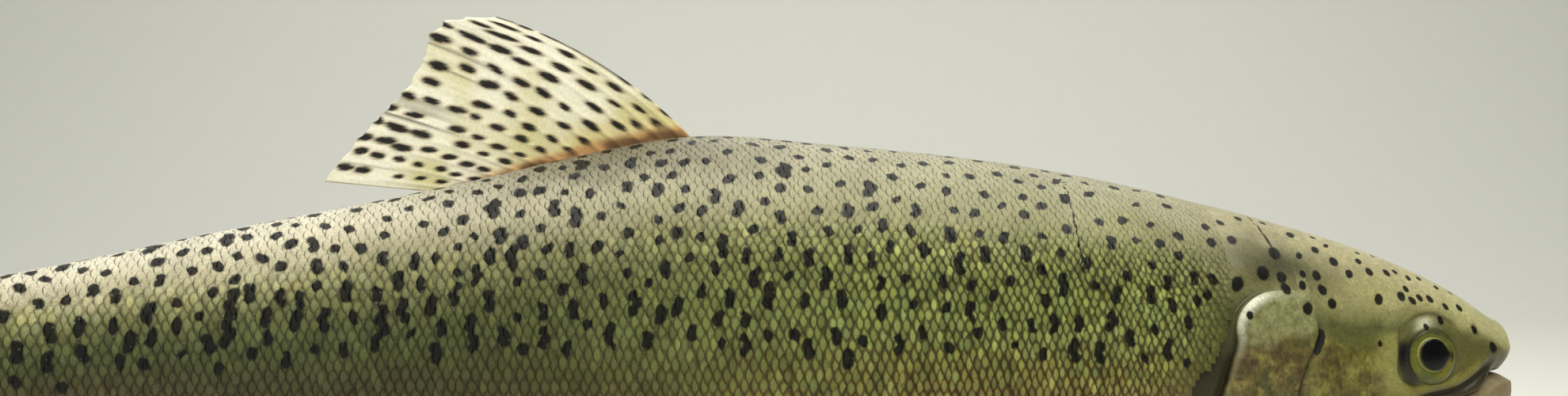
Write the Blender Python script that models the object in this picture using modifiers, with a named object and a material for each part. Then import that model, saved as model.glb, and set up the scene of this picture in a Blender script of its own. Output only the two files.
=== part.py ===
"""A rainbow trout at life size, as a still museum model on a plain display stand.

Metres, +Z up. The trout faces +X and its left side is +Y. It swims level, with its tail swung
towards its right side. The body is one loft, parted with thin cuts into the pieces that a
person would name, and the origin is the middle of the stand's underside.
"""

import math

import bmesh
import bpy
import numpy as np
from mathutils import Matrix, Vector

# Driving dimensions.
BODY_LENGTH = 0.500  # from the snout to the root of the tail fin
SNOUT_X = 0.2065
AXIS_HEIGHT = 0.158  # of the snout's tip, above the floor
GAP = 0.0003  # between pieces that meet

# The bend of the spine, seen from above.
TAIL_YAW = math.radians(16)
TAIL_RELAX = math.radians(7)
BEND_SPAN = (0.36, 0.84)
RELAX_SPAN = (0.86, 1.16)

# The body in fractions of BODY_LENGTH: distance from the snout, height of the back, height of
# the belly, half of the width, and the height of the widest place.
BODY_PLAN = (
    (0.0, -0.0150, -0.0150, 0.0, -0.0150),
    (0.0006, -0.0015, -0.0285, 0.0052, -0.0148),
    (0.003, 0.0100, -0.0374, 0.0108, -0.0145),
    (0.012, 0.0170, -0.0458, 0.0183, -0.0129),
    (0.03, 0.0290, -0.0521, 0.0262, -0.0100),
    (0.06, 0.0447, -0.0611, 0.0359, -0.0080),
    (0.10, 0.0601, -0.0740, 0.0465, -0.0067),
    (0.15, 0.0747, -0.0890, 0.0559, -0.0048),
    (0.21, 0.0904, -0.1043, 0.0615, -0.0028),
    (0.31, 0.1080, -0.1212, 0.0663, -0.0020),
    (0.41, 0.1179, -0.1283, 0.0674, -0.0020),
    (0.46, 0.1206, -0.1281, 0.0661, -0.0020),
    (0.52, 0.1114, -0.1243, 0.0626, -0.0020),
    (0.62, 0.0880, -0.1090, 0.0527, -0.0018),
    (0.74, 0.0632, -0.0797, 0.0372, -0.0022),
    (0.87, 0.0400, -0.0558, 0.0215, -0.0030),
    (1.0, 0.0465, -0.0600, 0.0105, -0.0040),
)
CROWN_FULLNESS = 0.12  # how much wider than an ellipse the section is, above and below
BACK_FULLNESS = 0.02
BELLY_FULLNESS = 0.10
BACK_STARTS = 0.30

# The mesh of the body.
RINGS = 42
SIDES = 30

# The eyes, in metres, on the head's own axes.
EYE_AT = 0.0617
EYE_HEIGHT = -0.0006
EYE_RADIUS = 0.0080
EYE_DEPTH = 0.0036
EYE_SINK = 0.0014  # of its middle, under the skin
EYE_FORWARD = 0.16
EYE_UPWARD = 0.10

# Side outlines of the cuts, as (distance, height) in fractions of BODY_LENGTH.
SHOULDER_CUT = (
    (0.178, 0.110),
    (0.172, 0.055),
    (0.179, 0.030),
    (0.193, 0.006),
    (0.208, -0.022),
    (0.215, -0.050),
    (0.205, -0.078),
    (0.182, -0.096),
    (0.166, -0.122),
)
MOUTH_CUT = (
    (-0.020, -0.0130),
    (0.010, -0.0140),
    (0.037, -0.0212),
    (0.065, -0.0310),
    (0.088, -0.0392),
    (0.101, -0.0480),
    (0.107, -0.0640),
    (0.108, -0.0950),
)
GILL_COVER = (
    (0.132, 0.028),
    (0.132, 0.006),
    (0.139, -0.016),
    (0.141, -0.040),
    (0.134, -0.062),
    (0.156, -0.077),
    (0.186, -0.073),
    (0.204, -0.052),
    (0.201, -0.028),
    (0.190, -0.008),
    (0.181, 0.010),
    (0.172, 0.029),
    (0.150, 0.037),
)
MAXILLA_LINE = (
    (0.014, -0.0085),
    (0.038, -0.0155),
    (0.064, -0.0255),
    (0.094, -0.0350),
)
MAXILLA_HEIGHT = 0.0070
MAXILLA_BLUNTNESS = 0.6  # 1 ends it in an ellipse, less ends it squarer
MAXILLA_POINTS = 28
GILL_COVER_INNER = 0.016  # from the middle plane, in metres
MAXILLA_THICKNESS = 0.0022
TRUNK_CUTS = (0.53, 0.80)  # square to the spine

# The fins: thickness at the root and at the edge, in metres.
FIN_ROOT = 0.0034
FIN_EDGE = 0.0008
FIN_EMBED = 0.004  # how far a fin is drawn under the skin before it is trimmed
FIN_STEPS = 7

# The stand.
BASE_SIZE = Vector((0.300, 0.130, 0.018))
BASE_BEVEL = 0.002
ROD_RADIUS = 0.0035
ROD_AT = {"front": 0.31, "rear": 0.60}
ROD_IN_BODY = 0.014
ROD_IN_BASE = 0.010

COLOURS = {
    "head": ((0.150, 0.140, 0.070), 0.36),
    "cheek": ((0.170, 0.120, 0.075), 0.34),
    "flank": ((0.120, 0.125, 0.055), 0.38),
    "fin": ((0.420, 0.360, 0.190), 0.45),
    "eye": ((0.020, 0.020, 0.015), 0.08),
    "wood": ((0.055, 0.032, 0.018), 0.45),
    "steel": ((0.560, 0.560, 0.550), 0.30),
}


def clear_scene():
    for obj in list(bpy.data.objects):
        bpy.data.objects.remove(obj, do_unlink=True)


def collection(name, hidden=False):
    made = bpy.data.collections.new(name)
    bpy.context.scene.collection.children.link(made)
    made.hide_render = hidden
    return made


clear_scene()
PARTS = collection("rainbow_trout")
CUTTERS = collection("cutters", hidden=True)


# Smooth curves.


def spline(knots, values):
    """The natural cubic spline through the values, one row for each knot, as a function."""
    knots = np.asarray(knots, float)
    values = np.asarray(values, float)
    steps = np.diff(knots)
    slopes = np.diff(values, axis=0) / steps[:, None]
    matrix = np.eye(len(knots))
    change = np.zeros_like(values)
    for i in range(1, len(knots) - 1):
        matrix[i, i - 1 : i + 2] = steps[i - 1], 2 * (steps[i - 1] + steps[i]), steps[i]
        change[i] = 6 * (slopes[i] - slopes[i - 1])
    bend = np.linalg.solve(matrix, change)

    def at(where):
        where = np.asarray(where, float)
        i = np.clip(np.searchsorted(knots, where) - 1, 0, len(steps) - 1)
        step = steps[i][..., None]
        after = (where - knots[i])[..., None] / step
        before = 1 - after
        cubic = (before**3 - before) * bend[i] + (after**3 - after) * bend[i + 1]
        return before * values[i] + after * values[i + 1] + cubic * step**2 / 6

    return at


def smooth_line(points, count, closed=False):
    """Points spread evenly along a smooth curve through the given ones."""
    points = np.asarray(points, float)
    if closed:
        points = np.concatenate([points[-2:], points, points[:3]])
    along = np.concatenate([[0], np.cumsum(np.linalg.norm(np.diff(points, axis=0), axis=1))])
    ends = (along[2], along[-3]) if closed else (along[0], along[-1])
    return spline(along, points)(np.linspace(*ends, count, endpoint=not closed))


def ease(value, span):
    """0 before the span and 1 after it, with a smooth rise between."""
    part = np.clip((np.asarray(value, float) - span[0]) / (span[1] - span[0]), 0, 1)
    return part * part * (3 - 2 * part)


# The body's own coordinates: distance from the snout, across to the left, and up.


def yaw(s):
    return TAIL_YAW * ease(s, BEND_SPAN) - TAIL_RELAX * ease(s, RELAX_SPAN)


def spine_path():
    """Distance from the snout, x and y along the spine, in small steps."""
    s = np.linspace(-0.05, 1.25, 1301)
    middle = (s[1:] + s[:-1]) / 2
    step = np.diff(s)[0] * BODY_LENGTH
    x = np.concatenate([[0], np.cumsum(-np.cos(yaw(middle)) * step)])
    y = np.concatenate([[0], np.cumsum(-np.sin(yaw(middle)) * step)])
    return s, x - np.interp(0, s, x) + SNOUT_X, y - np.interp(0, s, y)


SPINE = spine_path()
body_plan = spline(
    np.sqrt([row[0] for row in BODY_PLAN]),
    [row[1:] for row in BODY_PLAN],
)


def place(s, across, up):
    """World points for a distance from the snout (a fraction), across and up (metres)."""
    s, across, up = np.broadcast_arrays(s, across, up)
    turn = yaw(s)
    x = np.interp(s, SPINE[0], SPINE[1]) - np.sin(turn) * across
    y = np.interp(s, SPINE[0], SPINE[2]) + np.cos(turn) * across
    return np.stack([x, y, up + AXIS_HEIGHT], axis=-1)


def section(s, angle, swell=0.0):
    """(across, up) of the skin, at an angle that goes from the back, 0, to the belly, pi."""
    s, angle = np.broadcast_arrays(np.asarray(s, float), np.asarray(angle, float))
    plan = body_plan(np.sqrt(np.clip(s, 0, 1))) * BODY_LENGTH
    back, belly, half_width, level = (plan[..., i] for i in range(4))
    upper = back - level + swell
    lower = level - belly + swell
    cosine = np.cos(angle)
    crown = CROWN_FULLNESS + (BACK_FULLNESS - CROWN_FULLNESS) * np.clip(s / BACK_STARTS, 0, 1)
    fullness = (crown + BELLY_FULLNESS) / 2 + (crown - BELLY_FULLNESS) / 2 * cosine
    across = (half_width + swell) * np.sin(angle) * (1 + fullness * cosine**2)
    up = level + (upper + lower) / 2 * cosine + (upper - lower) / 2 * cosine**2
    return across, up


def skin_point(s, angle, side=1, sink=0.0):
    """A world point on the skin of one side (+1 is the left), or this far under it."""
    across, up = section(s, angle, -sink)
    return place(s, side * across, up)


def angle_at_height(s, up):
    angles = np.linspace(math.pi, 0, 181)
    return float(np.interp(up, section(s, angles)[1], angles))


def back_height(s):
    return float(section(s, 0.0)[1])


def belly_height(s):
    return float(section(s, math.pi)[1])


# Building helpers.


def material(name):
    found = bpy.data.materials.get(name)
    if found:
        return found
    colour, roughness = COLOURS[name]
    made = bpy.data.materials.new(name)
    made.use_nodes = True
    shader = made.node_tree.nodes["Principled BSDF"]
    shader.inputs["Base Color"].default_value = (*colour, 1)
    shader.inputs["Roughness"].default_value = roughness
    shader.inputs["Metallic"].default_value = 1.0 if name == "steel" else 0.0
    made.diffuse_color = (*colour, 1)
    return made


def new_object(name, mesh, finish=None):
    obj = bpy.data.objects.new(name, mesh)
    if finish:
        mesh.materials.append(material(finish))
        PARTS.objects.link(obj)
    else:
        CUTTERS.objects.link(obj)
        obj.hide_render = True
        obj.display_type = "WIRE"
    return obj


def mesh_of(bm, name):
    bmesh.ops.recalc_face_normals(bm, faces=bm.faces)
    mesh = bpy.data.meshes.new(name)
    bm.to_mesh(mesh)
    bm.free()
    return mesh


def applied(obj):
    """The object with its modifiers made part of its mesh."""
    bpy.context.view_layer.update()
    graph = bpy.context.evaluated_depsgraph_get()
    mesh = bpy.data.meshes.new_from_object(obj.evaluated_get(graph))
    obj.modifiers.clear()
    obj.data = mesh
    return obj


def subtract(obj, cutter, solver="EXACT"):
    cut = obj.modifiers.new("cut_" + cutter.name, "BOOLEAN")
    cut.operation = "DIFFERENCE"
    cut.solver = solver
    cut.object = cutter


def thicken(obj, thickness):
    solidify = obj.modifiers.new("thickness", "SOLIDIFY")
    solidify.thickness = thickness
    solidify.offset = 0
    return solidify


def grid(bm, points, closed=False):
    """Quads over rows of points, whose rows close on themselves if asked. Returns the rows."""
    rows = [[bm.verts.new(point) for point in row] for row in points]
    count = len(rows[0])
    for first, second in zip(rows, rows[1:]):
        for i in range(count if closed else count - 1):
            j = (i + 1) % count
            bm.faces.new((first[i], first[j], second[j], second[i]))
    return rows


# The body and its cuts.


def body_mesh(name, swell=0.0):
    """The whole body as one closed loft, with rings that crowd towards the snout."""
    stations = (np.arange(1, RINGS + 1) / RINGS) ** 2
    angles = np.arange(SIDES) * 2 * math.pi / SIDES
    points = [place(s, *section(s, angles, swell)) for s in stations]
    points[-1] = place(1 + swell / BODY_LENGTH, *section(1, angles, swell))
    bm = bmesh.new()
    rings = grid(bm, points, closed=True)
    snout_up = BODY_PLAN[0][1] * BODY_LENGTH
    snout = bm.verts.new(place(-swell / BODY_LENGTH, 0, snout_up))
    for i in range(SIDES):
        bm.faces.new((snout, rings[0][(i + 1) % SIDES], rings[0][i]))
    bm.faces.new(rings[-1])
    return mesh_of(bm, name)


def thin_wall(bm, name):
    """A cutter as thick as the gap. Its faces are triangles, so that both of its skins match."""
    bmesh.ops.triangulate(bm, faces=bm.faces)
    cutter = new_object(name, mesh_of(bm, name))
    thicken(cutter, GAP)
    return applied(cutter)


def sheet_cutter(name, outline):
    """A thin wall right across the body, along a side outline."""
    line = smooth_line(outline, 3 * len(outline))
    reach = 0.06
    rows = [place(line[:, 0], across, line[:, 1] * BODY_LENGTH) for across in (-reach, 0, reach)]
    bm = bmesh.new()
    grid(bm, rows)
    return thin_wall(bm, name)


def blade_outline():
    """The maxilla's closed side outline: its middle line with its height on both sides."""
    turn = np.arange(MAXILLA_POINTS) * 2 * math.pi / MAXILLA_POINTS
    front, rear = MAXILLA_LINE[0], MAXILLA_LINE[-1]
    slope = (rear[1] - front[1]) / (rear[0] - front[0])
    middle = spline([row[0] for row in MAXILLA_LINE], [row[1:] for row in MAXILLA_LINE])
    along = front[0] + (rear[0] - front[0]) * (1 - np.cos(turn)) / 2
    rise = np.sign(np.sin(turn)) * np.abs(np.sin(turn)) ** MAXILLA_BLUNTNESS
    rise *= MAXILLA_HEIGHT / 2
    return np.stack([along - rise * slope, middle(along)[:, 0] + rise], axis=-1)


def tray_cutter(name, line, inner, side):
    """A thin-walled tray that parts a plate from one side of the head.

    line is the plate's closed side outline, and inner gives the height of the tray's floor
    above the middle plane, for a distance.
    """
    up = line[:, 1] * BODY_LENGTH
    reach = 0.045
    rows = [
        place(line[:, 0], side * inner(line[:, 0]), up),
        place(line[:, 0], side * reach, up),
    ]
    bm = bmesh.new()
    rings = grid(bm, rows, closed=True)
    bm.faces.new(rings[0])
    return thin_wall(bm, name)


def eye_matrix(side, clearance=0.0):
    """Turns a unit sphere into the flattened eyeball, in its place."""
    outward = Vector((EYE_FORWARD, side, EYE_UPWARD)).normalized()
    surface = Vector(skin_point(EYE_AT, angle_at_height(EYE_AT, EYE_HEIGHT), side))
    centre = surface - outward * EYE_SINK
    turn = outward.to_track_quat("Z", "Y").to_matrix().to_4x4()
    size = Matrix.Diagonal(
        (EYE_RADIUS + clearance, EYE_RADIUS + clearance, EYE_DEPTH + clearance, 1)
    )
    return Matrix.Translation(centre) @ turn @ size


def eyeball(name, side, finish=None, clearance=0.0):
    bm = bmesh.new()
    bmesh.ops.create_uvsphere(bm, u_segments=16, v_segments=10, radius=1)
    bmesh.ops.transform(bm, matrix=eye_matrix(side, clearance), verts=bm.verts)
    return new_object(name, mesh_of(bm, name), finish)


def cylinder(name, radius, low, high, at, finish=None, segments=24):
    """An upright round bar between two heights, with its middle line at a place (x, y)."""
    bm = bmesh.new()
    bmesh.ops.create_cone(
        bm, cap_ends=True, segments=segments, radius1=radius, radius2=radius, depth=high - low
    )
    bmesh.ops.translate(bm, vec=(at[0], at[1], (low + high) / 2), verts=bm.verts)
    return new_object(name, mesh_of(bm, name), finish)


def maxilla_floor(s):
    """Half of the head's width at a distance, less the thickness of the maxilla."""
    half_width = body_plan(np.sqrt(s))[..., 2] * BODY_LENGTH
    return half_width * 0.93 - MAXILLA_THICKNESS


def gill_cover_floor(s):
    return np.full_like(s, GILL_COVER_INNER)


def body_cutters():
    """Everything that is taken out of the body."""
    yield sheet_cutter("shoulder_cut", SHOULDER_CUT)
    yield sheet_cutter("mouth_cut", MOUTH_CUT)
    for number, s in enumerate(TRUNK_CUTS):
        yield sheet_cutter(f"trunk_cut_{number}", ((s, 0.16), (s, 0.0), (s, -0.16)))
    gill_cover = smooth_line(GILL_COVER, 2 * len(GILL_COVER), closed=True)
    for side, word in ((1, "left"), (-1, "right")):
        yield tray_cutter(f"gill_cover_cut_{word}", gill_cover, gill_cover_floor, side)
        yield tray_cutter(f"maxilla_cut_{word}", blade_outline(), maxilla_floor, side)
        yield eyeball(f"eye_socket_{word}", side, clearance=GAP)
    for word, s in ROD_AT.items():
        top = rod_top(s) + GAP
        yield cylinder(f"rod_hole_{word}", ROD_RADIUS + GAP, top - 0.05, top, rod_place(s))


def islands(mesh):
    """The separate bodies of a mesh, each as a set of face numbers."""
    bm = bmesh.new()
    bm.from_mesh(mesh)
    found = []
    waiting = set(bm.faces)
    while waiting:
        front = [waiting.pop()]
        island = set(front)
        while front:
            face = front.pop()
            for edge in face.edges:
                for other in edge.link_faces:
                    if other in waiting:
                        waiting.discard(other)
                        island.add(other)
                        front.append(other)
        found.append({face.index for face in island})
    bm.free()
    return found


def middle_of(mesh, faces):
    """The middle of the box round some faces of a mesh."""
    numbers = sorted({number for face in faces for number in mesh.polygons[face].vertices})
    points = np.array([mesh.vertices[number].co for number in numbers])
    return (points.min(axis=0) + points.max(axis=0)) / 2


def island_mesh(mesh, faces, name):
    bm = bmesh.new()
    bm.from_mesh(mesh)
    bm.faces.ensure_lookup_table()
    unwanted = [face for face in bm.faces if face.index not in faces]
    bmesh.ops.delete(bm, geom=unwanted, context="FACES")
    return mesh_of(bm, name)


# Where the middle of each piece of the body lies, roughly: distance, side and height.
BODY_PIECES = {
    "head": (0.100, 0, 0.000, "head"),
    "lower_jaw": (0.052, 0, -0.045, "head"),
    "maxilla_left": (0.055, 0.028, -0.020, "cheek"),
    "maxilla_right": (0.055, -0.028, -0.020, "cheek"),
    "gill_cover_left": (0.160, 0.048, -0.020, "cheek"),
    "gill_cover_right": (0.160, -0.048, -0.020, "cheek"),
    "trunk_front": (0.350, 0, -0.005, "flank"),
    "trunk_rear": (0.665, 0, -0.005, "flank"),
    "tail_stalk": (0.900, 0, -0.005, "flank"),
}


def make_body():
    whole = new_object("body_whole", body_mesh("body_whole"))
    for cutter in list(body_cutters()):
        # The EXACT solver loses a gill cover here.
        subtract(whole, cutter, solver="MANIFOLD")
    mesh = applied(whole).data
    mesh.materials.clear()
    pieces = [(faces, middle_of(mesh, faces)) for faces in islands(mesh)]
    for name, (s, across, up, finish) in BODY_PIECES.items():
        aim = place(s, across * BODY_LENGTH, up * BODY_LENGTH)
        nearest = min(pieces, key=lambda piece: np.linalg.norm(piece[1] - aim))
        pieces.remove(nearest)
        new_object(name, island_mesh(mesh, nearest[0], name), finish)
    if pieces:
        raise ValueError(f"{len(pieces)} pieces of the body have no name")
    bpy.data.objects.remove(whole)


# The fins: rays that fan out from a root line to a line of tips.


def make_fin(name, root, tips, rays=14, bow=0.0, bow_towards=(0, 0, 1), root_thickness=FIN_ROOT):
    """A fin between two smooth lines of points, thinning towards its edge.

    bow bends each ray by this share of its length, most at its middle and on the first ray.
    """
    roots = smooth_line(root, rays)
    ends = smooth_line(tips, rays)
    bow_towards = np.asarray(bow_towards, float)
    bm = bmesh.new()
    rows = []
    for number, (start, end) in enumerate(zip(roots, ends)):
        length = np.linalg.norm(end - start)
        fade = 1 - number / (rays - 1)
        steps = np.linspace(0, 1, FIN_STEPS)[:, None]
        rise = bow * length * fade * 4 * steps * (1 - steps)
        rows.append(start + (end - start) * steps + rise * bow_towards)
    verts = grid(bm, rows)
    shares = {}
    bm.verts.index_update()
    for row in verts:
        for step, vert in enumerate(row):
            along = step / (FIN_STEPS - 1)
            shares[vert.index] = (FIN_EDGE + (root_thickness - FIN_EDGE) * (1 - along) ** 1.5)
    fin = new_object(name, mesh_of(bm, name), "fin")
    group = fin.vertex_groups.new(name="thickness")
    for index, thickness in shares.items():
        group.add([index], thickness / root_thickness, "REPLACE")
    solidify = thicken(fin, root_thickness)
    solidify.vertex_group = group.name
    subtract(fin, bpy.data.objects["body_clearance"])
    return fin


def median_root(first, last, height, sink=FIN_EMBED, count=6):
    """Points under the back or the belly, on the middle plane, from one distance to another."""
    s = np.linspace(first, last, count)
    sign = 1 if height is back_height else -1
    return [place(at, 0, height(at) - sign * sink) for at in s]


def in_plane(points):
    """World points on the body's middle plane, from (distance, height) fractions."""
    return [place(s, 0, up * BODY_LENGTH) for s, up in points]


def make_median_fins():
    make_fin(
        "dorsal_fin",
        median_root(0.460, 0.592, back_height),
        in_plane(
            (
                (0.574, 0.1864),
                (0.594, 0.1856),
                (0.609, 0.1800),
                (0.617, 0.1600),
                (0.640, 0.1290),
                (0.668, 0.0935),
            )
        ),
        bow=0.070,
        bow_towards=(0.5, 0, 0.85),
    )
    make_fin(
        "adipose_fin",
        median_root(0.850, 0.867, back_height),
        in_plane(((0.872, 0.0590), (0.886, 0.0650), (0.898, 0.0640), (0.898, 0.0560), (0.884, 0.0500))),
        rays=8,
        bow=0.10,
        bow_towards=(0.5, 0, 0.8),
        root_thickness=0.0042,
    )
    make_fin(
        "anal_fin",
        median_root(0.725, 0.822, belly_height),
        in_plane(((0.788, -0.174), (0.803, -0.174), (0.820, -0.152), (0.841, -0.116), (0.862, -0.086))),
        bow=0.04,
        bow_towards=(0.5, 0, -0.85),
    )
    tail_root = [
        place(1.0 - FIN_EMBED / BODY_LENGTH, 0, up * BODY_LENGTH)
        for up in np.linspace(0.0425, -0.0545, 7)
    ]
    make_fin(
        "caudal_fin",
        tail_root,
        in_plane(
            (
                (1.136, 0.117),
                (1.150, 0.098),
                (1.135, 0.048),
                (1.122, -0.004),
                (1.135, -0.056),
                (1.152, -0.106),
                (1.138, -0.127),
            )
        ),
        rays=20,
        root_thickness=0.0058,
    )


def paired_fin(name, side, root_ends, tips, bow):
    """A fin of a pair. Its tips are (back, out, down) in millimetres from its front root."""
    roots = [skin_point(s, angle, side, FIN_EMBED) for s, angle in root_ends]
    turn = float(yaw(root_ends[0][0]))
    back = np.array((-math.cos(turn), -math.sin(turn), 0))
    out = side * np.array((-math.sin(turn), math.cos(turn), 0))
    down = np.array((0, 0, -1))
    ends = [roots[0] + (b * back + o * out + d * down) / 1000 for b, o, d in tips]
    make_fin(
        name, smooth_line(roots, 4), ends, rays=12, bow=bow, bow_towards=out * 0.6 + down * 0.5
    )


def make_paired_fins():
    for side, word in ((1, "left"), (-1, "right")):
        paired_fin(
            f"pectoral_fin_{word}",
            side,
            ((0.222, 2.16), (0.229, 2.30), (0.239, 2.44)),
            ((64, 34, 17), (66, 30, 22), (60, 23, 28), (49, 16, 30), (36, 9, 27)),
            0.06,
        )
        paired_fin(
            f"pelvic_fin_{word}",
            side,
            ((0.520, 2.66), (0.528, 2.78), (0.537, 2.90)),
            ((48, 21, 19), (50, 17, 22), (46, 12, 23), (39, 7, 21), (31, 4, 16)),
            0.05,
        )


# The stand.


def rod_place(s):
    x, y, _ = place(s, 0, 0)
    return float(x), float(y)


def rod_top(s):
    return AXIS_HEIGHT + belly_height(s) + ROD_IN_BODY


def make_stand():
    bm = bmesh.new()
    bmesh.ops.create_cube(bm, size=1)
    bmesh.ops.scale(bm, vec=BASE_SIZE, verts=bm.verts)
    bmesh.ops.translate(bm, vec=(0, 0, BASE_SIZE.z / 2), verts=bm.verts)
    base = new_object("stand_base", mesh_of(bm, "stand_base"), "wood")
    bevel = base.modifiers.new("soft_edges", "BEVEL")
    bevel.width = BASE_BEVEL
    bevel.segments = 2
    for word, s in ROD_AT.items():
        foot = BASE_SIZE.z - ROD_IN_BASE
        at = rod_place(s)
        hole = cylinder(f"base_hole_{word}", ROD_RADIUS + GAP, foot - GAP, 0.03, at)
        subtract(base, hole)
        cylinder(f"stand_rod_{word}", ROD_RADIUS, foot, rod_top(s), at, "steel")


def main():
    new_object("body_clearance", body_mesh("body_clearance", swell=GAP))
    make_body()
    for side, word in ((1, "left"), (-1, "right")):
        eyeball(f"eye_{word}", side, finish="eye")
    make_median_fins()
    make_paired_fins()
    make_stand()


main()
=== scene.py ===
"""The looks of a life-size model of a rainbow trout on a plain display stand.

Metres, +Z up. The trout faces +X and its left side is +Y. One skin covers the body, with the
folds of the head in its shape. Overlapping scales lie on it, and the fins, eyes and stand are
pieces of their own. Markings are a function of the place on the body, so that the skin and
the scales over it agree.
"""

import itertools
import math

import bpy
import numpy as np
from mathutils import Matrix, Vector


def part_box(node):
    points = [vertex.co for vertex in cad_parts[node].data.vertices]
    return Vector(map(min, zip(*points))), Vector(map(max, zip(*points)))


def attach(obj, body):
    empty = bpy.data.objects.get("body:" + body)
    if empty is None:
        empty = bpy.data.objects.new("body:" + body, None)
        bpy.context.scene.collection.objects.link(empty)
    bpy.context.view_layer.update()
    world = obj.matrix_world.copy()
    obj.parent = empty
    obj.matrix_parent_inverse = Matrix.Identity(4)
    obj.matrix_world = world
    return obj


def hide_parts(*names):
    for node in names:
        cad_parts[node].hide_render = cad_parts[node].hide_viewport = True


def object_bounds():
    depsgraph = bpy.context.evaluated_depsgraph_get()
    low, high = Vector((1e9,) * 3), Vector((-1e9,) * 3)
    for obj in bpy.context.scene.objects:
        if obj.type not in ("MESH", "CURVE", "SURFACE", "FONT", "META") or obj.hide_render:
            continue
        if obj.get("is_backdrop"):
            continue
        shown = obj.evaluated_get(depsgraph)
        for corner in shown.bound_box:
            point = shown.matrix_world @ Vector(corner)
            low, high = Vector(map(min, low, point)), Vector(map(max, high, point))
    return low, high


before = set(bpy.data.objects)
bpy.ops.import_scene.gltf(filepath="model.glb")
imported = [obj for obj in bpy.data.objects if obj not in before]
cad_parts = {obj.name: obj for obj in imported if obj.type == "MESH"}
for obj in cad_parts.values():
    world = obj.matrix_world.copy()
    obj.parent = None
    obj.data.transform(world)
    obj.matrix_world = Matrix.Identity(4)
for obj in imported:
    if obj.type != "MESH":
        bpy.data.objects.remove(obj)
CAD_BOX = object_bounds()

# The body, as the solids have it.
BODY_LENGTH = 0.500  # from the snout to the root of the tail fin
SNOUT_X = 0.2065
AXIS_HEIGHT = 0.158  # of the snout's tip, above the floor
TAIL_YAW = math.radians(16)
TAIL_RELAX = math.radians(7)
BEND_SPAN = (0.36, 0.84)
RELAX_SPAN = (0.86, 1.16)

# Fractions of BODY_LENGTH: distance from the snout, height of the back, height of the belly,
# half of the width, and the height of the widest place.
BODY_PLAN = (
    (0.0, -0.0150, -0.0150, 0.0, -0.0150),
    (0.0006, -0.0015, -0.0285, 0.0052, -0.0148),
    (0.003, 0.0100, -0.0374, 0.0108, -0.0145),
    (0.012, 0.0170, -0.0458, 0.0183, -0.0129),
    (0.03, 0.0290, -0.0521, 0.0262, -0.0100),
    (0.06, 0.0447, -0.0611, 0.0359, -0.0080),
    (0.10, 0.0601, -0.0740, 0.0465, -0.0067),
    (0.15, 0.0747, -0.0890, 0.0559, -0.0048),
    (0.21, 0.0904, -0.1043, 0.0615, -0.0028),
    (0.31, 0.1080, -0.1212, 0.0663, -0.0020),
    (0.41, 0.1179, -0.1283, 0.0674, -0.0020),
    (0.46, 0.1206, -0.1281, 0.0661, -0.0020),
    (0.52, 0.1114, -0.1243, 0.0626, -0.0020),
    (0.62, 0.0880, -0.1090, 0.0527, -0.0018),
    (0.74, 0.0632, -0.0797, 0.0372, -0.0022),
    (0.87, 0.0400, -0.0558, 0.0215, -0.0030),
    (1.0, 0.0465, -0.0600, 0.0105, -0.0040),
)
CROWN_FULLNESS = 0.12  # how much wider than an ellipse the section is, above and below
BACK_FULLNESS = 0.02
BELLY_FULLNESS = 0.10
BACK_STARTS = 0.30
FIN_EMBED = 0.004  # how far a fin's root lies under the skin

SIDES = ((1, "left"), (-1, "right"))
MM = 0.001


# Curves, colours and noise.


def spline(knots, values):
    """The natural cubic spline through the values, one row for each knot, as a function."""
    knots = np.asarray(knots, float)
    values = np.asarray(values, float)
    steps = np.diff(knots)
    slopes = np.diff(values, axis=0) / steps[:, None]
    matrix = np.eye(len(knots))
    change = np.zeros_like(values)
    for i in range(1, len(knots) - 1):
        matrix[i, i - 1 : i + 2] = steps[i - 1], 2 * (steps[i - 1] + steps[i]), steps[i]
        change[i] = 6 * (slopes[i] - slopes[i - 1])
    bend = np.linalg.solve(matrix, change)

    def at(where):
        where = np.asarray(where, float)
        i = np.clip(np.searchsorted(knots, where) - 1, 0, len(steps) - 1)
        step = steps[i][..., None]
        after = (where - knots[i])[..., None] / step
        before = 1 - after
        cubic = (before**3 - before) * bend[i] + (after**3 - after) * bend[i + 1]
        return before * values[i] + after * values[i + 1] + cubic * step**2 / 6

    return at


def smooth_line(points, count):
    """Points spread evenly along a smooth curve through the given ones."""
    points = np.asarray(points, float)
    along = np.concatenate([[0], np.cumsum(np.linalg.norm(np.diff(points, axis=0), axis=1))])
    return spline(along, points)(np.linspace(0, along[-1], count))


def ease(value, span):
    """0 before the span and 1 after it, with a smooth rise between. The span may run down."""
    part = np.clip((np.asarray(value, float) - span[0]) / (span[1] - span[0]), 0, 1)
    return part * part * (3 - 2 * part)


def hump(value, width):
    """1 at zero, fading on both sides over about this width."""
    return np.exp(-((value / width) ** 2))


def rgb(red, green, blue):
    """A colour given as 0 to 255 on the screen, as linear light."""
    part = np.array((red, green, blue)) / 255
    return np.where(part <= 0.04045, part / 12.92, ((part + 0.055) / 1.055) ** 2.4)


def mix(first, second, share):
    share = np.asarray(share)[..., None]
    return first * (1 - share) + second * share


def shaded(colour, factor):
    """The colour made brighter or darker by a factor for each point."""
    return colour * np.asarray(factor)[..., None]


def paint(colour, *layers):
    """The colour with layers laid over it in turn, each (red, green, blue, how strongly)."""
    for red, green, blue, share in layers:
        colour = mix(colour, rgb(red, green, blue), share)
    return colour


def stack(*parts):
    """Points, or a table's columns, from their parts."""
    return np.stack(np.broadcast_arrays(*parts), axis=-1)


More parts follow.
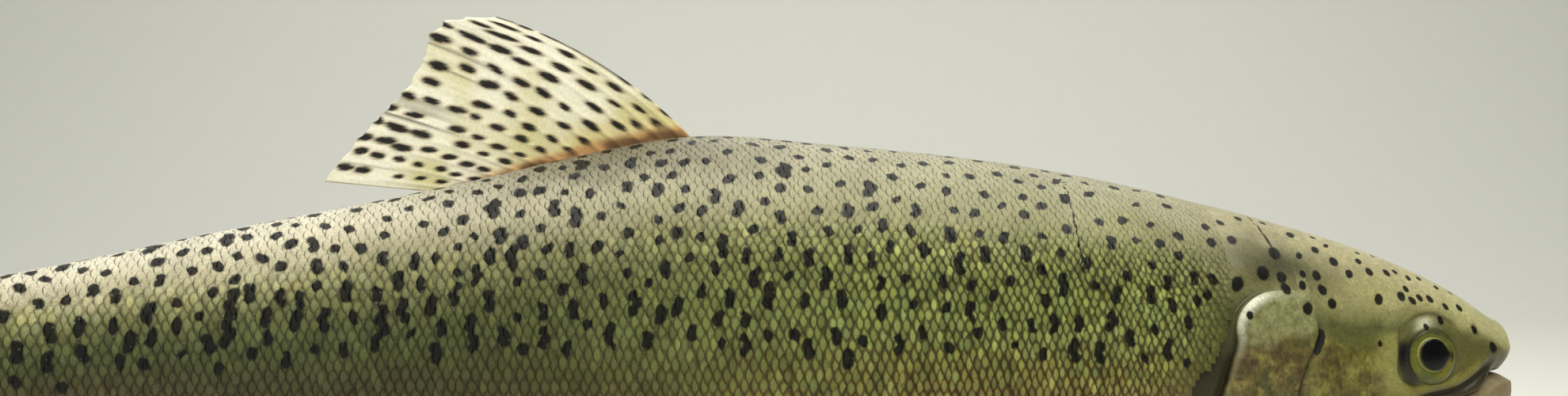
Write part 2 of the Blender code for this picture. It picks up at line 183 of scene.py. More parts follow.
def noise(points, size, seed):
    """Smooth random values from -1 to 1 that change over about this size."""
    cell = np.asarray(points) / size
    low = np.floor(cell).astype(np.int64)
    part = cell - low
    part = part * part * (3 - 2 * part)
    total = np.zeros(cell.shape[:-1])
    for corner in itertools.product((0, 1), repeat=cell.shape[-1]):
        key = np.full(total.shape, seed * 1274126177, np.int64)
        weight = np.ones(total.shape)
        for axis, (step, prime) in enumerate(zip(corner, (374761393, 668265263, 915488749))):
            key += (low[..., axis] + step) * prime
            weight *= part[..., axis] if step else 1 - part[..., axis]
        key = (key ^ (key >> 13)) * 1274126177
        total += ((key ^ (key >> 16)) & 0xFFFF) / 32767.5 * weight - weight
    return total


# The body's own coordinates: distance from the snout, angle from the back (0) to the belly
# (pi), and distance along the skin above the lateral line.


def yaw(s):
    return TAIL_YAW * ease(s, BEND_SPAN) - TAIL_RELAX * ease(s, RELAX_SPAN)


def spine_path():
    """Distance from the snout, x and y along the spine, in small steps."""
    s = np.linspace(-0.05, 1.25, 1301)
    middle = (s[1:] + s[:-1]) / 2
    step = np.diff(s)[0] * BODY_LENGTH
    x = np.concatenate([[0], np.cumsum(-np.cos(yaw(middle)) * step)])
    y = np.concatenate([[0], np.cumsum(-np.sin(yaw(middle)) * step)])
    return s, x - np.interp(0, s, x) + SNOUT_X, y - np.interp(0, s, y)


SPINE = spine_path()
body_plan = spline(
    np.sqrt([row[0] for row in BODY_PLAN]),
    [row[1:] for row in BODY_PLAN],
)


def place(s, across, up):
    """World points for a distance from the snout (a fraction), across and up (metres)."""
    turn = yaw(s)
    x = np.interp(s, SPINE[0], SPINE[1]) - np.sin(turn) * across
    y = np.interp(s, SPINE[0], SPINE[2]) + np.cos(turn) * across
    return stack(x, y, up + AXIS_HEIGHT)


def section(s, angle, swell=0.0):
    """(across, up) of the skin, at an angle that goes from the back, 0, to the belly, pi."""
    plan = body_plan(np.sqrt(np.clip(s, 0, 1))) * BODY_LENGTH
    back, belly, half_width, level = (plan[..., i] for i in range(4))
    upper = back - level + swell
    lower = level - belly + swell
    cosine = np.cos(angle)
    crown = CROWN_FULLNESS + (BACK_FULLNESS - CROWN_FULLNESS) * np.clip(s / BACK_STARTS, 0, 1)
    fullness = (crown + BELLY_FULLNESS) / 2 + (crown - BELLY_FULLNESS) / 2 * cosine
    across = (half_width + swell) * np.sin(angle) * (1 + fullness * cosine**2)
    up = level + (upper + lower) / 2 * cosine + (upper - lower) / 2 * cosine**2
    return across, up


def skin_point(s, angle, side=1, sink=0.0):
    """A world point on the skin of one side (+1 is the left), or this far under it."""
    across, up = section(s, angle, -sink)
    return place(s, side * across, up)


def outward(s, angle, side):
    """The unit vector out of the skin."""
    step = np.minimum(2e-4, s / 2)
    along = skin_point(s + step, angle, side) - skin_point(s - step, angle, side)
    round_body = skin_point(s, angle + 1e-3, side) - skin_point(s, angle - 1e-3, side)
    normal = np.cross(round_body, along) * np.asarray(side)[..., None]
    return normal / np.maximum(np.linalg.norm(normal, axis=-1, keepdims=True), 1e-12)


def back_height(s):
    return float(section(s, 0.0)[1])


def belly_height(s):
    return float(section(s, math.pi)[1])


TABLE_ROWS = 300  # crowded towards the snout, as the square root of the distance
TABLE_ANGLES = 240
SHARES = 120


def girth_tables():
    """The skin's distance above the lateral line for each angle, and the angle for each share
    of the way from the belly, -1, over the lateral line, 0, to the back, 1."""
    s = (np.arange(TABLE_ROWS + 1) / TABLE_ROWS) ** 2
    angles = np.linspace(0, math.pi, TABLE_ANGLES + 1)
    points = np.stack(section(s[:, None], angles[None]), axis=-1)
    steps = np.linalg.norm(np.diff(points, axis=1), axis=2)
    girth = np.concatenate([np.zeros((len(s), 1)), np.cumsum(steps, axis=1)], axis=1)
    above = girth[:, TABLE_ANGLES // 2, None] - girth
    shares = np.linspace(-1, 1, 2 * SHARES + 1)
    found = []
    for row in above:
        reach = np.where(shares > 0, row[0], -row[-1])
        found.append(np.interp(-shares * reach, -row, angles))
    return above, np.array(found)


ABOVE, ANGLE_OF_SHARE = girth_tables()


def look_up(table, row, column):
    """A table's value at row and column numbers that need not be whole."""
    row, column = np.broadcast_arrays(row, column)
    i = np.clip(row.astype(int), 0, table.shape[0] - 2)
    j = np.clip(column.astype(int), 0, table.shape[1] - 2)
    a, b = row - i, column - j
    upper = table[i, j] * (1 - b) + table[i, j + 1] * b
    lower = table[i + 1, j] * (1 - b) + table[i + 1, j + 1] * b
    return upper * (1 - a) + lower * a


def table_row(s):
    return np.sqrt(np.clip(s, 0, 1)) * TABLE_ROWS


def above_line(s, angle):
    """The distance along the skin above the lateral line."""
    return look_up(ABOVE, table_row(s), np.asarray(angle) / math.pi * TABLE_ANGLES)


def share_of(s, above):
    """Where the skin is between the lateral line, 0, and the back, 1, or the belly, -1."""
    back = look_up(ABOVE, table_row(s), 0.0)
    belly = look_up(ABOVE, table_row(s), float(TABLE_ANGLES))
    return np.where(above > 0, above / back, -above / belly)


def angle_at(s, above):
    """The angle of a distance above the lateral line, which may run over the back or belly."""
    share = share_of(s, above)
    over_back = share > 1
    under_belly = share < -1
    inside = np.where(over_back, 2 - share, np.where(under_belly, -2 - share, share))
    angle = look_up(ANGLE_OF_SHARE, table_row(s), (inside + 1) * SHARES)
    return np.where(over_back, -angle, np.where(under_belly, 2 * math.pi - angle, angle))


def angle_at_height(s, up):
    """The angle of the skin at a height in fractions of BODY_LENGTH."""
    angles = np.linspace(math.pi, 0, 181)
    return float(np.interp(up * BODY_LENGTH, section(s, angles)[1], angles))


# The lines of the head, as (distance, height) in fractions of BODY_LENGTH.
GILL_EDGE = (
    (0.139, 0.035), (0.148, 0.035), (0.1574, 0.0343), (0.1655, 0.031), (0.1712, 0.026),
    (0.1745, 0.02), (0.1752, 0.014), (0.1748, 0.009), (0.1763, 0.0035), (0.1805, -0.0107),
    (0.185, -0.025), (0.189, -0.04), (0.1865, -0.056), (0.174, -0.07), (0.15, -0.08),
    (0.125, -0.079), (0.105, -0.075),
)
MEMBRANE_EDGE = (
    (0.148, 0.036), (0.16, 0.0352), (0.169, 0.031), (0.1745, 0.026), (0.1775, 0.02),
    (0.1787, 0.0121), (0.1831, 0.0059), (0.1891, -0.0022), (0.1944, -0.0085), (0.1997, -0.0184),
    (0.2045, -0.035), (0.203, -0.053), (0.192, -0.07), (0.168, -0.084), (0.14, -0.084),
    (0.118, -0.0785),
)
PREOPERCLE = (
    (0.131, 0.029), (0.129, 0.018), (0.1294, 0.0092), (0.133, 0.0032), (0.1367, -0.005),
    (0.1412, -0.0193), (0.1425, -0.035), (0.137, -0.05), (0.123, -0.059), (0.106, -0.06),
)
SUBOPERCLE = (
    (0.144, -0.036), (0.16, -0.041), (0.175, -0.043), (0.188, -0.041),
)
INTEROPERCLE = (
    (0.14, -0.05), (0.148, -0.06), (0.16, -0.068), (0.174, -0.069),
)
SUBORBITAL = (
    (0.079, 0.0185), (0.0821, 0.0101), (0.0829, -0.0003), (0.0824, -0.011), (0.077, -0.016),
    (0.0684, -0.0178), (0.056, -0.016), (0.045, -0.012), (0.038, -0.005),
)
UPPER_GROOVE = (
    (0.0195, 0.0), (0.022, -0.004), (0.0265, -0.0082), (0.033, -0.013), (0.042, -0.018),
    (0.053, -0.0205), (0.0658, -0.0228), (0.08, -0.0275), (0.094, -0.033),
)
MOUTH = (
    (0.0004, -0.0135), (0.006, -0.0136), (0.0145, -0.0142), (0.026, -0.02), (0.04, -0.0245),
    (0.065, -0.0318), (0.085, -0.0385), (0.0985, -0.043),
)
BROW = (
    (0.038, 0.016), (0.05, 0.0225), (0.064, 0.0262), (0.08, 0.025), (0.092, 0.02),
)
NOSTRILS = ((0.0312, 0.0132), (0.0302, 0.0104))

# The eye, in metres, on the head's own axes.
EYE_AT = 0.0617
EYE_HEIGHT = -0.0006
EYE_RADIUS = 0.0080
EYE_DEPTH = 0.0036
EYE_SINK = 0.0014
EYE_OPENING = 0.0073
EYE_FORWARD = 0.16
EYE_UPWARD = 0.10


def on_skin(line, count=60):
    """A line's places as distance from the snout and distance above the lateral line."""
    dense = smooth_line(line, count)
    angles = np.array([angle_at_height(s, up) for s, up in dense])
    return stack(dense[:, 0] * BODY_LENGTH, above_line(dense[:, 0], angles))


def edge_by_angle(line):
    """The distance from the snout of an edge, as a function of the angle."""
    dense = smooth_line(line, 120)
    angles = np.array([angle_at_height(s, up) for s, up in dense])
    angles = np.maximum.accumulate(angles + np.arange(len(angles)) * 1e-6)
    return lambda angle: np.interp(angle, angles, dense[:, 0])


gill_edge = edge_by_angle(GILL_EDGE)
membrane_edge = edge_by_angle(MEMBRANE_EDGE)


def off_line(points, line):
    """How far along a line each point is, 0 to 1, and how far off it, positive on its left."""
    nearest = np.full(len(points), np.inf)
    share = np.zeros(len(points))
    off = np.zeros(len(points))
    for number, (start, end) in enumerate(zip(line, line[1:])):
        way = end - start
        length = np.hypot(*way)
        part = np.clip((points - start) @ way / length**2, 0, 1)
        away = points - start - part[:, None] * way
        distance = np.hypot(away[:, 0], away[:, 1])
        closer = distance < nearest
        nearest[closer] = distance[closer]
        left = way[0] * away[:, 1] - way[1] * away[:, 0] > 0
        off[closer] = np.where(left, distance, -distance)[closer]
        share[closer] = ((number + part) / (len(line) - 1))[closer]
    return share, off


def eye_axes(side):
    """The middle of the eye, and unit vectors out of it, forwards and upwards in its plane."""
    out = Vector((EYE_FORWARD, side, EYE_UPWARD)).normalized()
    angle = angle_at_height(EYE_AT, EYE_HEIGHT / BODY_LENGTH)
    centre = Vector(skin_point(EYE_AT, angle, side)) - out * EYE_SINK
    forward = (Vector((1, 0, 0)) - out * out.x).normalized()
    up = Vector((0, 0, 1)) - out * out.z
    up = (up - forward * up.dot(forward)).normalized()
    return centre, out, forward, up


def head_marks(s, angle):
    """For places on the skin, the share of the way along each line of the head and the
    distance off it, and the distances from the eye and the nostrils, all in millimetres."""
    points = stack(s * BODY_LENGTH, above_line(s, angle))
    marks = {}
    for name, line in HEAD_LINES.items():
        share, off = off_line(points, line)
        marks[name] = share, off / MM
    # These two edges run round the body, so that before and behind is never in doubt.
    for name, edge in (("gill", gill_edge), ("membrane", membrane_edge)):
        share, off = marks[name]
        marks[name] = share, np.sign(s - edge(angle)) * np.abs(off)
    centre, _, forward, up = eye_axes(1)
    away = (skin_point(s, angle) - np.array(centre)) / MM
    marks["eye"] = away @ np.array(forward), away @ np.array(up)
    nostrils = on_skin(NOSTRILS, len(NOSTRILS))
    marks["nostrils"] = [np.hypot(*(points - middle).T) / MM for middle in nostrils]
    return marks


HEAD_LINES = {
    "gill": on_skin(GILL_EDGE, 90),
    "membrane": on_skin(MEMBRANE_EDGE, 90),
    "preopercle": on_skin(PREOPERCLE),
    "subopercle": on_skin(SUBOPERCLE, 20),
    "interopercle": on_skin(INTEROPERCLE, 20),
    "suborbital": on_skin(SUBORBITAL),
    "upper_groove": on_skin(UPPER_GROOVE),
    "mouth": on_skin(MOUTH),
    "brow": on_skin(BROW, 20),
}


# The relief of the head, in millimetres out of the plain loft.


def fade_ends(share, first, last):
    """1 along a line, with a fade up to the first share of the way and after the last."""
    return ease(share, (0, first)) * ease(share, (1, last))


def gill_relief(marks):
    """The swell of the gill cover, the step at its free edge, the membrane and the shoulder."""
    share, off = marks["gill"]
    _, past_membrane = marks["membrane"]
    plate_swell = 0.60 * ease(off, (-10, -1.5)) * (1 - 0.55 * ease(off, (-1.5, 0)))
    beyond = (-0.6 - 0.7 * ease(share, (0.1, 0.35))) + 0.5 * ease(off, (0.4, 3.0))
    step = plate_swell + (beyond - plate_swell) * ease(off, (0, 0.35))
    across_edge = np.where(off < 0, plate_swell, step)
    rising = -0.5 - 0.35 * ease(past_membrane, (0.0, 0.3))
    shoulder = -0.85 + 0.85 * ease(past_membrane, (0.3, 7))
    behind = np.where(past_membrane > 0.3, shoulder, np.minimum(rising, shoulder) * (off > 0))
    return ease(share, (0.02, 0.12)) * np.where(past_membrane < 0, across_edge, behind)


def line_relief(marks):
    """The ridges and grooves along the lines of the head, and the nostrils."""
    share, off = marks["preopercle"]
    ridge = 0.45 * hump(off + 1.6, 1.6) - 0.75 * hump(off, 0.42)
    height = ridge * fade_ends(share, 0.12, 0.9)
    for name, depth in (("subopercle", 0.30), ("interopercle", 0.35)):
        share, off = marks[name]
        height -= depth * hump(off, 0.45) * fade_ends(share, 0.1, 0.9)
    share, off = marks["suborbital"]
    step = ease(off, (0.35, -0.35)) * ease(off, (-4.5, 0))
    height -= 0.55 * step * fade_ends(share, 0.1, 0.85)
    share, off = marks["upper_groove"]
    width = 1.3 - 0.7 * share
    ridge = 0.50 * hump(off + 2.6 + width * 0.5, 1.5) + 0.35 * hump(off - 1.9, 1.1)
    groove = 1.15 * hump(off + width * 0.8, width)
    height += (ridge - groove) * fade_ends(share, 0.15, 0.92)
    share, off = marks["brow"]
    height += 0.5 * hump(off, 2.2) * fade_ends(share, 0.2, 0.8)
    for distance in marks["nostrils"]:
        height -= 0.4 * hump(distance, 0.9)
    return height


def mouth_relief(s, marks):
    """The slit of the mouth, the blunt end of the snout round it and the edge of the jaw."""
    share, off = marks["mouth"]
    slit = 1.6 * hump(off, 0.5) * ease(share, (1.0, 0.97))
    above = np.clip(1 - off / 7.0, 0, 1) ** 1.4
    below = np.clip(1 + off / 2.6, 0, 1)
    blunt = 4.2 * np.where(off > 0, above, below) * ease(s, (0.034, 0.012))
    jaw = 0.5 * ease(off, (0.2, -0.6)) * ease(off, (-6, 0)) * ease(share, (1.0, 0.9))
    return -slit - blunt - jaw


def eye_relief(s, angle, marks):
    """The opening for the eye, and the folds of the lid round it."""
    forwards, upwards = marks["eye"]
    past_rim = np.hypot(forwards, upwards) - EYE_OPENING / MM
    folds = 0.25 * hump(past_rim - 0.5, 0.5) - 0.15 * hump(past_rim - 1.5, 0.6)
    lid = 0.30 * hump(past_rim - 2.6, 1.0) * ease(upwards, (0, 5))
    opening = 3.4 * ease(past_rim, (0, -0.9))
    return (folds + lid - opening) * ease(s, (0.10, 0.09)) * (angle < 2.3)


def throat_relief(s, angle, marks):
    """The folds of skin between the rays under the throat."""
    throat = ease(angle, (2.25, 2.6)) * ease(s, (0.055, 0.09)) * ease(marks["gill"][1], (0, -1))
    return 0.22 * throat * np.sin((angle - 2.2) * 26 + s * 70)


def head_relief(s, angle, marks):
    """How far the skin of the head stands out of the plain loft, in metres."""
    height = gill_relief(marks) + line_relief(marks) + mouth_relief(s, marks)
    return (height + eye_relief(s, angle, marks) + throat_relief(s, angle, marks)) * MM


# The markings.

# Colours of the side at the shoulder, near the tail and on the head, by the share of the way
# from the lateral line to the back (1) or to the belly (-1). They carry painted light: lighter
# towards the back, and darker low on the side as painted shade, most of all near the tail.
SHOULDER_STOPS = (
    (-1.0, (222, 220, 210)), (-0.66, (200, 196, 182)), (-0.46, (150, 138, 110)),
    (-0.3, (108, 96, 62)), (-0.14, (96, 92, 50)), (-0.03, (95, 98, 50)), (0.08, (101, 103, 57)),
    (0.2, (100, 105, 56)), (0.33, (92, 96, 51)), (0.44, (111, 112, 67)), (0.56, (123, 121, 82)),
    (0.75, (136, 133, 104)), (1.0, (136, 132, 108)),
)
TAIL_STOPS = (
    (-1.0, (214, 212, 202)), (-0.66, (186, 180, 164)), (-0.46, (134, 120, 94)),
    (-0.3, (88, 72, 50)), (-0.14, (58, 56, 34)), (-0.03, (58, 62, 36)), (0.08, (64, 70, 40)),
    (0.22, (76, 79, 46)), (0.33, (100, 100, 64)), (0.44, (132, 129, 92)),
    (0.56, (162, 156, 126)), (0.72, (184, 178, 154)), (1.0, (188, 184, 166)),
)
TAIL_SPAN = (0.28, 0.72)
HEAD_STOPS = (
    (-1.0, (206, 200, 184)), (-0.7, (168, 160, 134)), (-0.45, (108, 98, 56)),
    (-0.2, (82, 74, 34)), (0.0, (78, 74, 30)), (0.14, (76, 76, 36)), (0.25, (70, 72, 38)),
    (0.35, (112, 110, 70)), (0.5, (142, 138, 94)), (0.66, (150, 144, 108)),
    (1.0, (148, 142, 112)),
)
SPOT_COLOUR = rgb(6, 6, 4)
# Spots of the head: distance and height in fractions of BODY_LENGTH, and radius in mm.
HEAD_SPOTS = (
    (0.1729, 0.0397, 2.0), (0.1574, 0.0448, 1.9), (0.1473, 0.0425, 1.5), (0.148, 0.0547, 1.9),
    (0.1345, 0.0434, 1.0), (0.1265, 0.0428, 1.4), (0.136, 0.0377, 1.2), (0.1457, 0.0362, 1.5),
    (0.1251, 0.0354, 1.4), (0.1345, 0.0258, 1.6), (0.1202, 0.0279, 1.4), (0.106, 0.0433, 1.3),
    (0.1133, 0.05, 1.5), (0.0928, 0.0443, 1.3), (0.091, 0.0297, 1.5), (0.0765, 0.0307, 1.4),
    (0.0721, 0.0346, 1.0), (0.0705, 0.0285, 1.2), (0.0648, 0.03, 1.1), (0.0578, 0.0292, 1.2),
    (0.049, 0.0247, 1.1), (0.0386, 0.0239, 1.1), (0.1688, 0.0229, 1.1), (0.1282, 0.0134, 0.8),
    (0.1287, 0.0112, 1.05), (0.1294, 0.009, 1.1), (0.1302, 0.0068, 1.0), (0.131, 0.0046, 0.9),
    (0.1317, 0.0026, 0.7), (0.031, 0.0118, 1.1), (0.02, 0.002, 1.5), (0.0643, 0.0145, 0.9),
    (0.0545, 0.0178, 1.1), (0.094, 0.0061, 0.8), (0.1223, 0.056, 1.3), (0.133, 0.0528, 1.1),
    (0.1127, 0.0582, 1.0), (0.1181, 0.0626, 0.9), (0.133, 0.0642, 1.4), (0.1457, 0.0706, 1.1),
    (0.0965, 0.0497, 1.1), (0.0928, 0.0539, 0.8), (0.0821, 0.0518, 0.8), (0.081, 0.0433, 1.2),
    (0.0743, 0.0437, 0.9), (0.0663, 0.0405, 1.0), (0.0578, 0.0393, 0.9), (0.0482, 0.0346, 0.9),
    (0.0386, 0.0314, 0.8), (0.0322, 0.0293, 0.8), (0.026, 0.0253, 0.8), (0.1614, 0.0732, 1.3),
    (0.1746, 0.0716, 1.2), (0.1839, 0.0695, 1.3), (0.1831, 0.0612, 1.5), (0.1713, 0.062, 1.5),
    (0.1865, 0.0415, 1.6), (0.1909, 0.0338, 1.4),
)
# Old scratches, each from one (distance, height) to another.
SCRATCHES = (
    ((0.259, 0.0955), (0.256, 0.045)),
    ((0.153, 0.075), (0.149, 0.059)),
)
INK_RAMP = 0.8  # how fast the ink falls off through one half at a spot's edge
SPOT_TRIES = 16000
SPOT_GAP = 0.0056  # between the middles of neighbouring spots of the flank
# The lower end of the spots above the lateral line, in metres, by the distance from the snout.
LOWEST_SPOT = (
    (0.17, -0.002), (0.25, 0.003), (0.45, 0.007), (0.65, 0.005), (0.8, -0.002), (1.0, -0.02),
)
# The maps of the spots, over the distance and the height along the skin.
MAP_STEP = 0.00025
MAP_LOW = (0.0, -0.110)
MAP_SIZE = (2160, 880)


def trunk_spots(random):
    """Lumps that make up the spots of one side of the trunk: (x, above, across, high, lean)."""
    centres = []
    lumps = []
    for _ in range(SPOT_TRIES):
        s = random.uniform(0.165, 1.0)
        above = random.uniform(-0.03, 0.072)
        share = float(share_of(np.array(s), np.array(above)))
        lowest = np.interp(s, *zip(*LOWEST_SPOT)) + random.normal(0, 0.002)
        if above < lowest or share > 1 or s < 0.195:
            continue
        gap = SPOT_GAP * np.interp(s, (0.2, 0.5, 0.9), (1.06, 1.0, 0.92))
        here = np.array((s * BODY_LENGTH, above))
        if centres and np.hypot(*(np.array(centres) - here).T).min() < gap:
            continue
        centres.append(here)
        on_back = ease(share, (0.35, 0.65))
        size = random.uniform(0.78, 1.12) * np.interp(s, (0.2, 0.4, 0.7), (0.95, 1.08, 1.18)) * MM
        pieces = 1 if random.random() < 0.30 + 0.5 * on_back else random.choice((2, 2, 2, 2, 3))
        lean = random.choice((-1, 1))
        for number in range(pieces):
            shift = number - (pieces - 1) / 2
            x = here[0] + (lean * abs(shift) * 0.8 + random.normal(0, 0.20)) * size
            up = here[1] + shift * (1.8 - 0.5 * on_back) * size
            across = (1.30 + 0.16 * on_back) * size
            high = (1.50 - 0.10 * on_back) * size
            lumps.append((x, up, across, high, random.normal(0, 0.25)))
    return lumps


def head_spots(random):
    for s, up, radius in HEAD_SPOTS:
        above = float(above_line(np.array(s), angle_at_height(s, up)))
        yield (
            s * BODY_LENGTH + random.normal(0, 0.12) * MM,
            above + random.normal(0, 0.12) * MM,
            radius * 0.92 * MM,
            radius * 1.12 * MM,
            random.normal(0, 0.2),
        )


def scratches(random):
    """Old scratches as rows of small dark marks."""
    for first, last in SCRATCHES:
        for way in np.linspace(0, 1, 42):
            s, up = (a + (b - a) * way for a, b in zip(first, last))
            above = float(above_line(np.array(s), angle_at_height(s, up)))
            x = s * BODY_LENGTH + random.normal(0, 0.10) * MM
            yield x, above, random.uniform(0.22, 0.40) * MM, random.uniform(0.3, 0.6) * MM, 0.0


def spot_map(side):
    """How black the skin of one side is, over its distance and its height along the skin."""
    random = np.random.default_rng(31 + side)
    image = np.zeros(MAP_SIZE, np.float32)
    marks = [*trunk_spots(random), *head_spots(random), *scratches(random)]
    for x, above, wide, high, lean in marks:
        reach = int(2.2 * max(wide, high) / MAP_STEP)
        i, j = (int((value - low) / MAP_STEP) for value, low in zip((x, above), MAP_LOW))
        columns = np.arange(max(i - reach, 0), min(i + reach, MAP_SIZE[0]))
        rows = np.arange(max(j - reach, 0), min(j + reach, MAP_SIZE[1]))
        away_x = (columns[:, None] * MAP_STEP + MAP_LOW[0] - x) / wide
        away_up = (rows[None] * MAP_STEP + MAP_LOW[1] - above) / high
        spread = np.hypot(away_x + lean * away_up, away_up)
        ink = np.clip(0.5 + INK_RAMP * (1 - spread), 0, 1)
        patch = image[columns[0] : columns[-1] + 1, rows[0] : rows[-1] + 1]
        np.maximum(patch, ink, out=patch)
    return image


SPOT_MAPS = {side: spot_map(side) for side, _ in SIDES}


def stops_at(stops, share):
    shares, colours = zip(*stops)
    colours = np.array([rgb(*colour) for colour in colours])
    return np.stack([np.interp(share, shares, colours[:, i]) for i in range(3)], axis=-1)


def ink_at(s, angle, side):
    """The ink of the spots, from 0 to 1. A spot's edge is where it passes one half."""
    above = above_line(s, on_one_side(angle))
    points = stack(s * BODY_LENGTH, above)
    shift = stack(noise(points, 0.9 * MM, 5), noise(points, 0.9 * MM, 6))
    ragged = points + shift * (0.10 + 0.16 * ease(s, (0.16, 0.22)))[:, None] * MM
    black = np.zeros(len(s))
    for one, _ in SIDES:
        chosen = side == one
        where = (ragged[chosen] - MAP_LOW) / MAP_STEP
        black[chosen] = look_up(SPOT_MAPS[one], where[:, 0], where[:, 1])
    return black


def on_one_side(angle):
    """The angle of a place that may lie over the back or under the belly."""
    angle = np.abs(angle)
    return np.where(angle > math.pi, 2 * math.pi - angle, angle)


def hide_colour(s, angle, side, marks=None):
    """The colour of the skin of the body between its spots, as linear light.

    marks are the distances to the lines of the head, for places that are on the head.
    """
    angle = on_one_side(angle)
    above = above_line(s, angle)
    share = share_of(s, above)
    points = stack(s * BODY_LENGTH, above, side * 0.3)
    wavy = share + 0.05 * noise(points, 14 * MM, 1) + 0.03 * noise(points, 4 * MM, 2)
    colour = mix(stops_at(SHOULDER_STOPS, wavy), stops_at(TAIL_STOPS, wavy), ease(s, TAIL_SPAN))
    colour = mix(colour, stops_at(HEAD_STOPS, wavy), ease(s, (0.21, 0.165)))
    # The side is darkest below the fin of the back, and the back beside the fin is darker with
    # painted shade of the fin.
    under_fin = hump(s - 0.56, 0.10) * ease(share, (0.75, 0.5))
    # The darker olive along the fin's root is painted shade of the fin.
    fin_shade_on_back = hump(s - 0.51, 0.09) * ease(wavy, (0.60, 0.82))
    colour = paint(shaded(colour, 1 - 0.24 * under_fin), (66, 60, 34, 0.72 * fin_shade_on_back))
    stalk_back = ease(s, (0.84, 0.95)) * ease(share, (0.25, 0.6))
    colour = shaded(colour, 1 - 0.40 * stalk_back)
    # Painted shade: the nape is dusky above the corner of the gill cover, and the crown behind the
    # head is darker.
    nape = hump(s - 0.150, 0.038) * hump(share - 0.51 + 0.04 * noise(points, 9 * MM, 8), 0.16)
    crown = hump(s - 0.15, 0.045) * ease(share, (0.35, 0.5))
    colour = shaded(paint(colour, (52, 52, 28, 0.9 * nape)), 1 - 0.20 * crown)
    if marks is not None:
        colour = head_colour(colour, s, wavy, points, marks)
    patchy = 1 + 0.10 * noise(points, 9 * MM, 3) + 0.07 * noise(points, 2.2 * MM, 4)
    speckle = 1 + 0.10 * noise(points, 0.7 * MM, 7) * ease(share, (0.1, 0.6))
    return shaded(colour, patchy * speckle)


def marbling(points, size, seed):
    """Warped noise in several sizes, from about -1 to 1, for blotches with ragged edges."""
    shift = stack(noise(points, size, seed + 1), noise(points, size, seed + 2), 0)
    warped = points + 0.7 * size * shift
    fine = 0.55 * noise(warped, size / 2.3, seed + 3) + 0.35 * noise(warped, size / 5, seed + 4)
    return noise(warped, size, seed) + fine


def cheek_colour(colour, s, share, marks, coarse, medium, fine):
    """The gill cover, marbled ochre, brown and maroon, and the yellow-brown cheek before it."""
    low = ease(share + 0.06 * coarse, (0.22, 0.06))
    above_throat = ease(share, (-0.62, -0.40))
    before_gill = ease(marks["gill"][1], (0.4, 0))
    cover = ease(marks["preopercle"][1], (-0.5, 0.5)) * before_gill * ease(s, (0.128, 0.134))
    cover = cover * ease(share, (0.52, 0.42))
    lower_cover = cover * low * above_throat
    cheek = (1 - cover) * low * above_throat * before_gill * ease(s, (0.05, 0.09))
    colour = paint(
        colour,
        (116, 116, 78, cover * (1 - low) * 0.85),
        (84, 74, 38, lower_cover * 0.85),
        (62, 42, 32, lower_cover * ease(coarse, (-0.2, 0.8)) * 0.85),
        (116, 106, 58, lower_cover * ease(medium, (0.0, 0.8)) * 0.8),
        (64, 68, 36, lower_cover * ease(coarse + fine, (-0.3, -1.1)) * 0.75),
        (86, 82, 32, cheek * 0.8),
        (64, 48, 28, cheek * ease(medium + 0.6 * coarse, (-0.1, 0.8)) * 0.9),
        (116, 112, 56, cheek * ease(medium + 0.4 * coarse, (0.0, -0.8)) * 0.8),
    )
    side = np.clip((cover + cheek) * before_gill, 0, 1)
    elsewhere = 1 + (0.13 * medium + 0.08 * fine) * (1 - side)
    return shaded(colour, (1 + 0.32 * fine * side) * elsewhere)


def gill_colour(colour, share, marks, medium, fine):
    """The gill cover's rim and its corner with a painted highlight, the flap with painted shadow in
    the slit behind it, painted shade on the shoulder, and its plates' edges.
    """
    along, gill = marks["gill"]
    _, membrane = marks["membrane"]
    rim = hump(gill + 0.8, 0.55) * ease(along, (0.02, 0.10))
    # The upper corner of the gill cover gets a painted highlight.
    corner = ease(gill, (-3.2, -0.6)) * ease(gill, (0.4, 0)) * hump(along - 0.15, 0.08)
    inner = hump(gill + 2.6, 0.5) * ease(along, (0.14, 0.24))
    flap = ease(gill, (0, 0.3)) * ease(membrane, (0.4, -0.1)) * ease(along, (0.05, 0.12))
    # Low down, the flap's olive turns into a painted shadow of the gill opening.
    olive = mix(rgb(24, 17, 12), rgb(82, 82, 46), ease(share, (0.02, 0.20)))
    # Painted shade on the skin just behind the gill cover.
    shoulder = ease(gill, (0.2, 0.8)) * ease(membrane, (5, 0)) * ease(along, (0.05, 0.15))
    colour = paint(
        colour,
        (112, 106, 72, rim * 0.55),
        (204, 206, 184, corner * 0.9 * ease(medium, (-1.8, -0.3))),
        (58, 50, 34, inner * 0.35),
    )
    colour = mix(colour, shaded(olive, 1 + 0.15 * fine), flap)
    # Painted shadow in the slit at the gill cover's edge, painted shade in the crease at the membrane's
    # edge, and the painted shade behind the cover.
    colour = paint(
        colour,
        (14, 10, 8, hump(gill - 0.35, 0.5) * ease(along, (0.12, 0.34)) * 0.85),
        (36, 28, 22, hump(membrane - 0.2, 0.4) * ease(along, (0.1, 0.2)) * 0.7),
        (56, 54, 30, shoulder * 0.45),
    )
    along, off = marks["preopercle"]
    ends = ease(along, (0.06, 0.16)) * ease(along, (1.0, 0.85))
    colour = paint(
        colour,
        (34, 26, 18, hump(off, 0.38) * ends * 0.9),
        (114, 108, 64, hump(off + 1.3, 0.9) * ends * 0.35),
    )
    for name in ("subopercle", "interopercle"):
        along, off = marks[name]
        colour = paint(colour, (62, 50, 38, hump(off, 0.4) * ease(along, (1, 0.9)) * 0.6))
    return colour


